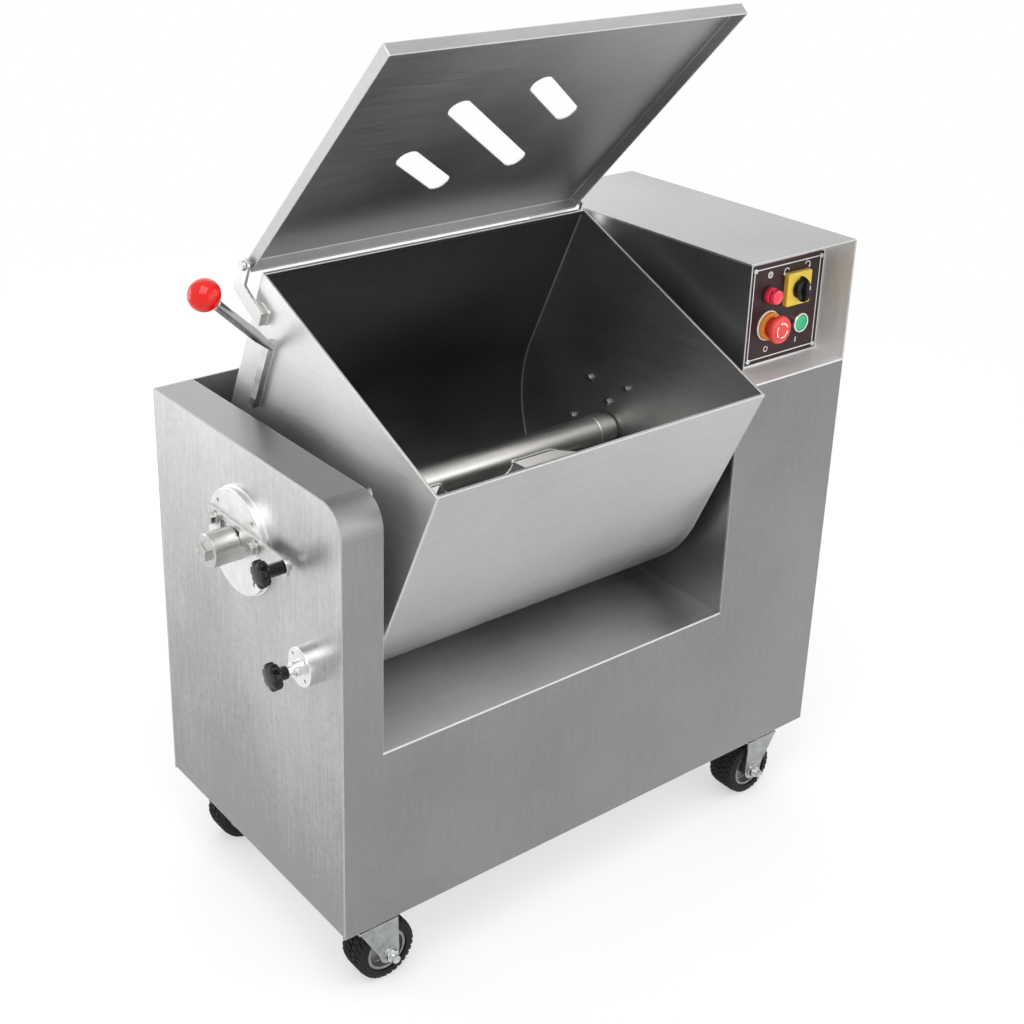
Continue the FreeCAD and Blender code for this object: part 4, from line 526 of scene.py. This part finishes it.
addStarKnob("keeperStarKnob", "keeper_knob", middleOf("keeper_nut"), "keeper")
addStarKnob("plungerStarKnob", "plunger_knob", plungerAxis, "plunger")

# lever's knob: a little flatter along the rod than across, with a round seat on the rod
ballLook = {"across": 20.4, "along": 18.8, "seat": 8.0, "steps": 32, "rodLean": 44.6}
rodLean = math.radians(ballLook["rodLean"])
rodAxis = bowlSpace.to_3x3() @ Vector((-math.sin(rodLean), 0, math.cos(rodLean)))
ballSpace = facing(middleOf("lever_ball"), rodAxis, (1, 0, 0))
ballTurns = [math.pi * step / ballLook["steps"] for step in range(ballLook["steps"] + 1)]
ballProfile = [(ballLook["across"] * math.sin(turn), -ballLook["along"] * math.cos(turn)) for turn in ballTurns]
ballProfile[1:5] = [(ballLook["seat"] * 0.9, -ballLook["along"] * 0.985), (ballLook["seat"], -ballLook["along"] * 0.94)]
newPiece("leverKnob", ballRed, "bowl", lambda work: lathe(work, ballProfile, ballSpace, 64), ("lever_ball",), 50)

# screws: socket heads sunk in the turned flanges and on the sheets, hexagon heads with washers under the cabinet
screwLook = {"shoulder": 0.6, "top": 0.86, "washer": 1.28, "washerHeight": 1.2, "corner": 0.95, "chamfer": 0.8}


def socketScrew(work, space, radius, height, socket, sink):
    rings = [circle(radius, 0), circle(radius, height * screwLook["shoulder"])]
    rings += [circle(radius * screwLook["top"], height), hexagonRing(socket, height)]
    rings += [hexagonRing(socket, height - sink), [Vector((0, 0, height - sink))]]
    cap(work, loft(work, rings, space)[0])


def hexagonScrew(work, space, halfWidth, height):
    washer, rise = halfWidth * screwLook["washer"], screwLook["washerHeight"]
    rings = [circle(washer, 0), circle(washer, rise), hexagonRing(halfWidth, rise)]
    rings += [hexagonRing(halfWidth, height - screwLook["chamfer"]), circle(halfWidth * screwLook["corner"], height)]
    rings.append([Vector((0, 0, height))])
    cap(work, loft(work, rings, space)[0])


def addScrews(name, material, body, places, kind, *sizes):
    def build(work):
        for space in places:
            kind(work, space, *sizes)
    newPiece(name, material, body, build)


# four screws round an axis along X, with their heads towards the left
def fourRound(face, axis, radius):
    places = []
    for quarter in range(4):
        turn = math.radians(45 + 90 * quarter)
        middle = (face, axis.y + radius * mm * math.cos(turn), axis.z + radius * mm * math.sin(turn))
        places.append(facing(middle, (-1, 0, 0)))
    return places


# hole circles' radii, how deep the heads sit, and how far the plunger's flange stands off the side sheet
flangeLook = {"radius": 59, "sunk": 4.5, "plungerRadius": 18.5, "plungerSunk": 2.0, "plungerStandoff": 20}
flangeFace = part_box("left_bearing_housing")[0][0] + flangeLook["sunk"] * mm
addScrews("flangeScrews", boltSteel, "cabinet", fourRound(flangeFace, axle, flangeLook["radius"]),
          socketScrew, 3.0, 3.0, 1.5, 2.2)
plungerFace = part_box("left_side_panel")[0][0] - flangeLook["plungerStandoff"] * mm
plungerFace += flangeLook["plungerSunk"] * mm
addScrews("plungerScrews", boltSteel, "cabinet", fourRound(plungerFace, plungerAxis, flangeLook["plungerRadius"]),
          socketScrew, 2.3, 1.4, 1.2, 1.2)

# screws of the two back sheets: distances from the sheets' edges, and rows up and across the rear panel
coverLook = {"side": 8, "end": 10}
rearLook = {"edge": 12, "across": (12, 210, 420, 630), "upperRow": 588, "sideRow": 300, "towerRow": 380,
            "towerSide": 654}
low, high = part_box("service_cover")
side, end = coverLook["side"] * mm, coverLook["end"] * mm
backHoles = [facing((x, high[1], z), (0, 1, 0)) for x in (low[0] + side, high[0] - side)
             for z in (low[2] + end, (low[2] + high[2]) / 2, high[2] - end)]
low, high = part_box("rear_panel")
edge, right, top = rearLook["edge"] * mm, high[0] - rearLook["edge"] * mm, high[2] - rearLook["edge"] * mm
spots = [(low[0] + x * mm, low[2] + z * mm) for x in rearLook["across"]
         for z in (rearLook["edge"], rearLook["upperRow"])]
spots += [(low[0] + edge, low[2] + rearLook["sideRow"] * mm), (right, low[2] + edge),
          (right, low[2] + rearLook["towerRow"] * mm), (right, top), (low[0] + rearLook["towerSide"] * mm, top)]
backHoles += [facing((x, high[1], z), (0, 1, 0)) for x, z in spots]
addScrews("coverScrews", boltSteel, "cabinet", backHoles, socketScrew, 4.2, 2.4, 1.6, 1.4)

# caster plates: the kingpin's lead over the wheel, the plate's underside, and the bolts' half spacings
casterLook = {"lead": 23, "underside": 114, "boltX": 36, "boltY": 29}
plateBolts = []
for corner in corners:
    middle = middleOf(f"caster_tyre_{corner}")
    lead = casterLook["lead"] * mm * (-1 if "left" in corner else 1)
    kingpin = Vector((middle.x + lead, middle.y, casterLook["underside"] * mm))
    for x in (-casterLook["boltX"], casterLook["boltX"]):
        for y in (-casterLook["boltY"], casterLook["boltY"]):
            plateBolts.append(facing(kingpin + Vector((x * mm, y * mm, 0)), (0, 0, -1), (0, 1, 0)))
addScrews("casterPlateBolts", boltSteel, "cabinet", plateBolts, hexagonScrew, 5.0, 5.0)
print("knobs and screws made")

# control panel: everything is set out from the plate's middle, right and up in mm
panelLow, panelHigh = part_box("control_plate")
panelSpace = facing(((panelLow[0] + panelHigh[0]) / 2, panelLow[1], (panelLow[2] + panelHigh[2]) / 2), (0, -1, 0))


def onPanel(node, height=0.0):
    middle = middleOf(node)
    return facing((middle.x, panelLow[1] - height * mm, middle.z), (0, -1, 0))


def bar(work, space, startX, startY, endX, endY, width, low=0.0, high=0.25):
    along = Vector((endX - startX, endY - startY, 0)).normalized() * width / 2
    side = Vector((-along.y, along.x, 0))
    start, end = Vector((startX, startY, 0)), Vector((endX, endY, 0))
    outline = [(point.x, point.y) for point in (start - side, end - side, end + side, start + side)]
    plate(work, outline, low, high, space, 0.05)


# a flat arc, with an arrow head where it ends if wanted
def arcMark(work, space, centre, radius, start, end, width, arrow=0.0, high=0.25):
    steps = max(6, int(abs(end - start) / 8))
    inner, outer = [], []
    for step in range(steps + 1):
        turn = math.radians(start + (end - start) * step / steps)
        for row, reach in ((inner, radius - width / 2), (outer, radius + width / 2)):
            row.append((centre[0] + reach * math.cos(turn), centre[1] + reach * math.sin(turn)))
    for step in range(steps):
        plate(work, [inner[step], outer[step], outer[step + 1], inner[step + 1]], 0.0, high, space, 0.02)
    if arrow:
        turn = math.radians(end)
        onward = 1 if end > start else -1
        middle = Vector((centre[0] + radius * math.cos(turn), centre[1] + radius * math.sin(turn), 0))
        ahead = Vector((-math.sin(turn), math.cos(turn), 0)) * onward
        across = Vector((math.cos(turn), math.sin(turn), 0))
        outline = [middle - across * arrow, middle + ahead * arrow * 1.6, middle + across * arrow]
        plate(work, [(point.x, point.y) for point in outline], 0.0, high, space, 0.02)


# printed frame and marks: a lamp sign, two arrows for the turning directions, O and I
panelLook = {"frame": (66.5, 65.5), "line": 1.5, "mark": 1.3,
             "lampSign": (-35, 55), "lampRadius": 4.2, "cross": 3, "arrows": ((-2, 54, 20, 200), (40, 57, 160, -20)),
             "arrowRadius": 5.0, "arrowHead": 2.4, "letterO": (-31, -54), "radiusO": 3.6, "letterI": (30, -56, -48)}
frameX, frameY = panelLook["frame"]


def buildPanelInk(work):
    framePoints = [(-frameX, -frameY), (frameX, -frameY), (frameX, frameY), (-frameX, frameY)]
    for start, end in zip(framePoints, framePoints[1:] + framePoints[:1]):
        bar(work, panelSpace, *start, *end, panelLook["line"])
    width, (x, y), reach = panelLook["mark"], panelLook["lampSign"], panelLook["cross"]
    arcMark(work, panelSpace, (x, y), panelLook["lampRadius"], 0, 360, width)
    bar(work, panelSpace, x - reach, y - reach, x + reach, y + reach, width, 0.0, 0.3)
    bar(work, panelSpace, x - reach, y + reach, x + reach, y - reach, width, 0.0, 0.3)
    for x, y, start, end in panelLook["arrows"]:
        arcMark(work, panelSpace, (x, y), panelLook["arrowRadius"], start, end, width, panelLook["arrowHead"])
    arcMark(work, panelSpace, panelLook["letterO"], panelLook["radiusO"], 0, 360, width)
    x, low, high = panelLook["letterI"]
    bar(work, panelSpace, x, low, x, high, width * 1.2)


newPiece("panelInk", printAndPaintedHighlightWhite, "cabinet", buildPanelInk)
panelCorners = [panelSpace @ Matrix.Translation(Vector((x * frameX, y * frameY, 0)) * mm)
                for x in (-1, 1) for y in (-1, 1)]
addScrews("panelScrews", chrome, "cabinet", panelCorners, socketScrew, 3.8, 2.2, 1.5, 1.4)


# the controls' turned pieces: profiles are pairs of radius and height over the control plate
def addTurned(name, material, body, profile, node, replaced=(), count=64):
    newPiece(name, material, body, lambda work: lathe(work, profile, onPanel(node), count), replaced)


pilotLook = {"lens": ((11.2, 2.0), (11.2, 8.4), (10.8, 9.0), (10.3, 9.3), (10.3, 16.6), (9.9, 17.7), (8.8, 18.4),
                      (0, 18.5)),
             "seat": ((13.0, 0.0), (13.0, 1.8), (12.4, 2.6), (11.0, 2.6))}
addTurned("pilotLens", lampRed, "cabinet", pilotLook["lens"], "pilot_lamp", ("pilot_lamp",), 48)
addTurned("pilotSeat", nylonBlack, "cabinet", pilotLook["seat"], "pilot_lamp", (), 48)

# selector: a square plate, a turned skirt and a grip bar that is pointed at both ends and domed.
# grip holds each ring's height and its scale across and along, mark is the pointer line's start and end.
selectorLook = {"half": 24, "corner": 3.5, "thick": 8, "chamfer": 1.0, "inset": (0.955, 0.955),
                "skirt": ((13.4, 8.2), (14.4, 9.0), (14.4, 14.4), (13.9, 16.0), (12.6, 17.0), (0, 17.4)),
                "reach": 18.6, "halfGrip": 6.6, "swell": 1.8, "count": 64,
                "grip": ((8.6, 1.0, 0.97), (13.0, 1.0, 1.0), (17.0, 1.0, 0.97), (20.5, 0.94, 0.88), (23.4, 0.84, 0.76),
                         (25.2, 0.70, 0.64), (26.0, 0.46, 0.54)),
                "mark": (2.6, 8.6), "markWidth": 1.3, "markLevels": (25.6, 26.3)}
selectorSpace = onPanel("selector_plate")


def buildSelectorPlate(work):
    outline = roundedSquare(selectorLook["half"], selectorLook["corner"])
    plate(work, outline, 0, selectorLook["thick"], selectorSpace, selectorLook["chamfer"], selectorLook["inset"])


def buildSelector(work):
    lathe(work, selectorLook["skirt"], selectorSpace, 64)
    outline = []
    for turn in around(selectorLook["count"]):
        reach = selectorLook["reach"] * math.sin(turn)
        half = selectorLook["halfGrip"] * (1 - abs(reach / selectorLook["reach"]) ** selectorLook["swell"])
        outline.append((math.copysign(half, math.cos(turn)), reach))
    rings = [outlineRing(outline, height, (across, along)) for height, across, along in selectorLook["grip"]]
    cap(work, loft(work, rings, selectorSpace)[-1])


def buildPointer(work):
    start, end = selectorLook["mark"]
    bar(work, selectorSpace, 0, start, 0, end, selectorLook["markWidth"], *selectorLook["markLevels"])


newPiece("selectorPlate", plateYellow, "cabinet", buildSelectorPlate, ("selector_plate",))
newPiece("selectorGrip", phenolicBlack, "selector", buildSelector, ("selector_knob",))
newPiece("selectorPointer", printAndPaintedHighlightWhite, "selector", buildPointer)

# stop button: a dished collar with a white ring round its rim as a painted highlight, a mushroom head and three arrows
# on it
stopLook = {"collar": ((20.2, 0.0), (20.2, 5.6), (19.4, 7.4), (18.0, 8.0), (14.2, 8.0), (13.4, 7.2), (13.4, 3.0)),
            "rim": ((20.2, 0.0), (21.6, 0.0), (21.8, 0.9), (21.2, 1.7), (20.2, 1.9)),
            "head": ((12.8, 4.4), (12.8, 12.4), (13.6, 13.6), (16.4, 15.2), (18.6, 17.0), (19.7, 19.2), (20.0, 21.4),
                     (19.8, 23.6), (18.9, 25.4), (17.6, 26.4), (16.9, 26.4), (16.3, 25.8), (15.7, 25.8), (15.0, 26.5),
                     (10.0, 27.5), (5.0, 27.9), (0, 28.0)),
            "arrows": (20, 140, 260), "arrowTurn": 74, "arrowRadius": 10.2, "arrowWidth": 1.7, "arrowHead": 2.3,
            "arrowLevel": 26.8, "arrowHigh": 0.75}
addTurned("stopCollar", collarOrange, "cabinet", stopLook["collar"], "stop_collar", ("stop_collar",))
# a white ring round the collar's outer edge: a painted highlight
addTurned("stopCollarPaintedHighlight", printAndPaintedHighlightWhite, "cabinet", stopLook["rim"], "stop_collar")
addTurned("stopMushroom", stopRed, "stop_button", stopLook["head"], "stop_head", ("stop_head",))


def buildStopArrows(work):
    space = onPanel("stop_head", stopLook["arrowLevel"])
    for start in stopLook["arrows"]:
        arcMark(work, space, (0, 0), stopLook["arrowRadius"], start, start + stopLook["arrowTurn"],
                stopLook["arrowWidth"], stopLook["arrowHead"], stopLook["arrowHigh"])


newPiece("stopArrows", printAndPaintedHighlightWhite, "stop_button", buildStopArrows)

# start button: a bezel with a white ring round a flat cap, the ring a painted reflection on the chrome
startLook = {"bezel": ((14.5, 0.0), (14.5, 6.0), (14.2, 7.6), (13.4, 8.6), (12.6, 8.9), (11.9, 8.6), (11.5, 7.6),
                       (11.5, 3.0)),
             "ring": ((13.9, 8.0), (13.6, 8.8), (12.8, 9.15), (12.1, 8.8), (11.9, 8.0)),
             "cap": ((11.0, 4.2), (11.0, 7.6), (10.6, 8.3), (9.8, 8.7), (0, 8.9))}
addTurned("startBezel", chrome, "cabinet", startLook["bezel"], "start_bezel", ("start_bezel",))
# a white ring on the bezel's face: a painted reflection
addTurned("startBezelPaintedReflection", printAndPaintedHighlightWhite, "cabinet", startLook["ring"], "start_bezel")
addTurned("startButton", startGreen, "start_button", startLook["cap"], "start_cap", ("start_cap",))
print("control panel made")

# tyres: four staggered rows of raised blocks over a smooth carcass with a ribbed sidewall.
# wall is pairs of radius and offset, rows the blocks' edges, levels how far below the radius or base and how shrunk.
tyreLook = {"radius": 44.0, "base": 41.4, "blocks": 30, "blockShare": 0.36, "skew": 0.035, "shoulder": 16, "fall": 1.6,
            "rows": ((-21.6, -12.4), (-10.2, -0.9), (0.9, 10.2), (12.4, 21.6)),
            "levels": (("base", 1.5, 1.0), ("radius", 0.5, 0.94), ("radius", 0.0, 0.82)),
            "wall": ((30.2, 22.2), (31.6, 22.9), (33.2, 22.9), (34.0, 22.3), (35.0, 22.3), (35.8, 22.9), (38.0, 22.5),
                     (39.9, 21.2), (41.0, 19.0), (41.4, 16.0))}


def buildTyre(work):
    wall = list(tyreLook["wall"])
    carcass = wall + [(tyreLook["base"], 0.0)] + [(radius, -offset) for radius, offset in reversed(wall)]
    lathe(work, carcass, Matrix.Rotation(math.radians(90), 4, "X"), 72)
    pitch = 2 * math.pi / tyreLook["blocks"]
    for row, (inside, outside) in enumerate(tyreLook["rows"]):
        skew = tyreLook["skew"] * (1 if row % 2 else -1)
        for block in range(tyreLook["blocks"]):
            middle = (block + 0.5 * (row % 2)) * pitch
            rings = []
            for base, below, shrink in tyreLook["levels"]:
                ring = []
                for sideways, onward in ((-1, -1), (1, -1), (1, 1), (-1, 1)):
                    across = (inside + outside) / 2 + sideways * (outside - inside) / 2 * shrink
                    turn = middle + onward * pitch * tyreLook["blockShare"] * shrink + skew * sideways
                    fall = tyreLook["fall"] if abs(across) > tyreLook["shoulder"] else 0.0
                    radius = tyreLook[base] - below - fall
                    ring.append(Vector((radius * math.cos(turn), across, radius * math.sin(turn))))
                rings.append(ring)
            cap(work, loft(work, rings, Matrix.Identity(4))[-1])


# all four share one mesh round its own middle
tyreMesh = newMesh("treadedTyre_front_left", tyreRubber, buildTyre, 30)
for corner in corners:
    piece = addPiece(f"treadedTyre_{corner}", tyreMesh, f"wheel_{corner}", (f"caster_tyre_{corner}",))
    piece.location = middleOf(f"caster_tyre_{corner}")
print("tyres made")

# axle nuts: washer, chamfered hexagon, threaded stub and a cupped end, heights measured from the wheel's middle
nutLook = {"foot": 28.0, "washer": 0.7, "halfWidth": 8.2, "top": 36.3, "chamfer": 1.1, "stub": 5.3, "thread": 0.45,
           "pitch": 1.25, "end": 43.2, "lip": 1.2, "cup": 3.5}


def buildAxleNut(work, space):
    foot, top, width = nutLook["foot"], nutLook["top"], nutLook["halfWidth"]
    rise = foot + nutLook["washer"]
    rings = [circle(width * 1.06, foot), circle(width * 1.06, rise), hexagonRing(width, rise)]
    rings += [hexagonRing(width, top - nutLook["chamfer"]), circle(width * 0.97, top)]
    crest, height = nutLook["stub"] + nutLook["thread"], top
    while height + nutLook["pitch"] < nutLook["end"]:
        rings += [circle(nutLook["stub"], height), circle(crest, height + nutLook["pitch"] / 2)]
        height += nutLook["pitch"]
    end, lip, cup = nutLook["end"], nutLook["end"] + nutLook["lip"], nutLook["cup"]
    rings += [circle(crest, end), circle(crest - 0.3, lip), circle(cup + 0.4, lip), circle(cup, lip - 0.4)]
    rings += [circle(cup, end), [Vector((0, 0, end))]]
    cap(work, loft(work, rings, space)[0])


# turned by 30 degrees, so that a corner points up like the solid's
nutUp = (0.5, 0, 0.866)
for corner in corners:
    space = facing(middleOf(f"caster_tyre_{corner}"), (0, -1, 0), nutUp)
    newPiece(f"axleNut_{corner}", nutZinc, f"fork_{corner}", lambda work: buildAxleNut(work, space), (), 30)
print("axle nuts made")


# weld beads: a rippled seam along a path, with a ring each beadStep
beadStep = 1.1 * mm
noSeamAlong = Vector((0.31, 0.77, 0.55))


def buildBead(work, path, radius, closed, seed, ripple=0.22):
    random.seed(seed)
    lengths = [0.0]
    points = list(path) + ([path[0]] if closed else [])
    for start, end in zip(points, points[1:]):
        lengths.append(lengths[-1] + (end - start).length)
    count = max(4, int(lengths[-1] / beadStep))
    turns = [math.pi * part / 4 for part in range(8)]
    rings, place = [], 0
    for step in range(count + (0 if closed else 1)):
        reach = lengths[-1] * step / count
        while place < len(lengths) - 2 and lengths[place + 1] < reach:
            place += 1
        start, end = points[place], points[place + 1]
        along = (end - start).normalized()
        centre = start + along * (reach - lengths[place])
        side = along.cross(noSeamAlong).normalized()
        other = along.cross(side)
        size = radius * (1 + ripple * (0.6 * math.cos(step * 2.1) + random.uniform(-0.4, 0.4)))
        rings.append([(centre + (side * math.cos(turn) + other * math.sin(turn)) * size * mm) / mm for turn in turns])
    made = loft(work, rings, Matrix.Identity(4), closed)
    if not closed:
        cap(work, made[0])
        cap(work, made[-1])


# the bowl's seams, in mm in its own frame: x of the end plates' faces, and outlines of the fittings as y and z
seamLook = {"ends": ((-305.4, 1), (218.2, 2)), "radius": 198.3, "rim": 244, "endBead": 1.3, "endRipple": 0.10,
            "outside": -309.4, "rightOutside": 222.2, "lever": ((140, 182), (140, 76), (152, 76), (152, 182)),
            "leverBead": 1.7, "strap": ((168, 194), (188, 194), (188, 214), (168, 214)), "strapBead": 1.6}


def bowlPath(x, points):
    return [bowlSpace @ (Vector((x, *point)) * mm) for point in points]


def buildBowlSeams(work):
    radius, rim = seamLook["radius"], seamLook["rim"]
    turns = [math.pi * step / 48 for step in range(1, 48)]
    outline = [(radius, rim), (radius, 0)] + [(radius * math.cos(turn), -radius * math.sin(turn)) for turn in turns]
    outline += [(-radius, 0), (-radius, rim)]
    for x, seed in seamLook["ends"]:
        buildBead(work, bowlPath(x, outline), seamLook["endBead"], False, seed, seamLook["endRipple"])


def buildFittingSeams(work):
    buildBead(work, bowlPath(seamLook["outside"], seamLook["lever"]), seamLook["leverBead"], False, 3)
    for x in (seamLook["outside"], seamLook["rightOutside"]):
        buildBead(work, bowlPath(x, seamLook["strap"]), seamLook["strapBead"], True, 4)


newPiece("bowlSeams", paddleSteel, "bowl", buildBowlSeams)
newPiece("fittingSeams", paddleSteel, "bowl", buildFittingSeams)


# the ploughs' seams run where their plates meet the tube: outlines of the faces that lie on it
def contactLoops(node, centre, radius):
    mesh = nodes[node].data
    space = nodes[node].matrix_world
    reachOfContact = 0.4 * mm
    spots = [space @ vertex.co for vertex in mesh.vertices]
    keys = [(round(spot.x, 5), round(spot.y, 5), round(spot.z, 5)) for spot in spots]
    seated = [abs(math.hypot(spot.y - centre.y, spot.z - centre.z) - radius) < reachOfContact for spot in spots]
    uses, where = {}, {}
    for face in mesh.polygons:
        if all(seated[vertex] for vertex in face.vertices):
            ring = list(face.vertices)
            for start, end in zip(ring, ring[1:] + ring[:1]):
                pair = tuple(sorted((keys[start], keys[end])))
                uses[pair] = uses.get(pair, 0) + 1
                where[keys[start]], where[keys[end]] = spots[start], spots[end]
    edges = {pair for pair, count in uses.items() if count == 1 and pair[0] != pair[1]}
    loops = []
    while edges:
        start, end = edges.pop()
        loop = [start, end]
        while True:
            onward = next((pair for pair in edges if loop[-1] in pair), None)
            if onward is None:
                break
            edges.remove(onward)
            loop.append(onward[0] if onward[1] == loop[-1] else onward[1])
        loops.append([where[key] for key in loop])
    return loops


ploughLook = {"tubeRadius": 25, "bead": 1.9, "ripple": 0.3, "seed": 10}
ploughLoops = contactLoops("paddles", axle, ploughLook["tubeRadius"] * mm)


def buildPloughSeams(work):
    for number, loop in enumerate(ploughLoops):
        buildBead(work, loop, ploughLook["bead"], False, ploughLook["seed"] + number, ploughLook["ripple"])


newPiece("ploughSeams", paddleSteel, "mixer", buildPloughSeams)
print("seams made:", len(ploughLoops), "plough loops")

# camera: the photograph's viewing angle
cameraLook = {"place": (-1.26043, -1.52645, 1.51282), "turn": (67.7717, -0.9433, -36.9485), "lens": 55.619,
              "sensor": 36, "shift": (0.0641, -0.118)}
cameraData = bpy.data.cameras.new("camera")
cameraData.lens = cameraLook["lens"]
cameraData.sensor_width = cameraLook["sensor"]
cameraData.shift_x, cameraData.shift_y = cameraLook["shift"]
camera = bpy.data.objects.new("camera", cameraData)
camera.location = cameraLook["place"]
camera.rotation_euler = [math.radians(angle) for angle in cameraLook["turn"]]
bpy.context.scene.collection.objects.link(camera)
bpy.context.scene.camera = camera

# soft studio lamps: one overhead on the left, four large weak ones round the machine
lamps = {
    "keyLamp": {"place": (-1.6, -1.2, 3.6), "aim": (0, 0, 0.6), "power": 62, "size": 2.6},
    "fillLamp": {"place": (2.8, -2.6, 2.2), "aim": (0, 0, 0.6), "power": 30, "size": 3.0},
    "rimLamp": {"place": (1.0, 3.0, 2.6), "aim": (0, 0, 0.8), "power": 21, "size": 3.2},
    "lowLamp": {"place": (0.4, -3.2, 1.15), "aim": (0, 0, 0.8), "power": 15, "size": 2.2},
    "sideLamp": {"place": (-1.7, 2.0, 0.85), "aim": (-0.42, 0, 0.75), "power": 11, "size": 1.4},
}
for name, look in lamps.items():
    data = bpy.data.lights.new(name, "AREA")
    data.shape = "SQUARE"
    data.size = look["size"]
    data.energy = look["power"]
    lamp = bpy.data.objects.new(name, data)
    lamp.location = look["place"]
    lamp.rotation_euler = (Vector(look["aim"]) - Vector(look["place"])).to_track_quat("-Z", "Y").to_euler()
    bpy.context.scene.collection.objects.link(lamp)


# 1 for what the camera or a mirror sees, 0 for light that falls on the machine
def seenDirectly(tree):
    path = addNode(tree, "ShaderNodeLightPath")
    mirrored = maths(tree, "MAXIMUM", path.outputs["Is Glossy Ray"], path.outputs["Is Transmission Ray"])
    return maths(tree, "MAXIMUM", path.outputs["Is Camera Ray"], mirrored)


# the sky is pure white to the eye and a little weaker as a light
skyStrength = 0.78
world = bpy.data.worlds.new("studio")
bpy.context.scene.world = world
world.use_nodes = True
sky = world.node_tree
sky.nodes.clear()
lightSky = addNode(sky, "ShaderNodeBackground", {"Color": (1, 1, 1, 1), "Strength": skyStrength}).outputs[0]
whiteSky = addNode(sky, "ShaderNodeBackground", {"Color": (1, 1, 1, 1), "Strength": 1.0}).outputs[0]
skyMix = addNode(sky, "ShaderNodeMixShader", {0: seenDirectly(sky), 1: lightSky, 2: whiteSky})
addNode(sky, "ShaderNodeOutputWorld", {"Surface": skyMix.outputs[0]})

# the floor as the camera and the steel see it is lifted towards white: near the mixer it keeps half of its shadow,
# and from the far distance on it is plain white
floorLook = {"half": 14, "level": -0.0006, "near": 1.0, "far": 3.2, "nearLift": 0.5}
floorMaterial, floorTree, floorShader = newMaterial("studio floor, white card", {"Roughness": 0.8})
floorPlace = placeOn(floorTree)
floorClouds = noiseAt(floorTree, floorPlace, 500, 2.0)
floorColour = blendColour(floorTree, floorClouds, linear("#f6f6f6"), linear("#fbfbfb"))
floorTree.links.new(floorColour, floorShader.inputs["Base Color"])
floorGlow = addNode(floorTree, "ShaderNodeEmission", {"Color": (1, 1, 1, 1), "Strength": 1.0}).outputs[0]
floorReach = vectorMaths(floorTree, "LENGTH", floorPlace, output="Value")
floorLift = spread(floorTree, floorReach, floorLook["near"], floorLook["far"], floorLook["nearLift"], 1.0)
floorAmount = maths(floorTree, "MULTIPLY", seenDirectly(floorTree), floorLift)
floorMix = addNode(floorTree, "ShaderNodeMixShader", {0: floorAmount, 1: floorShader.outputs[0], 2: floorGlow})
floorTree.links.new(floorMix.outputs[0], floorTree.nodes["Material Output"].inputs["Surface"])
half, level = floorLook["half"], floorLook["level"]
floorMesh = bpy.data.meshes.new("floor")
floorMesh.from_pydata([(x, y, level) for x, y in ((-half, -half), (half, -half), (half, half), (-half, half))],
                      [], [(0, 1, 2, 3)])
floorMesh.materials.append(floorMaterial)
floor = bpy.data.objects.new("floor", floorMesh)
bpy.context.scene.collection.objects.link(floor)
bpy.context.scene.view_settings.view_transform = "Standard"
print("camera, light and floor made")
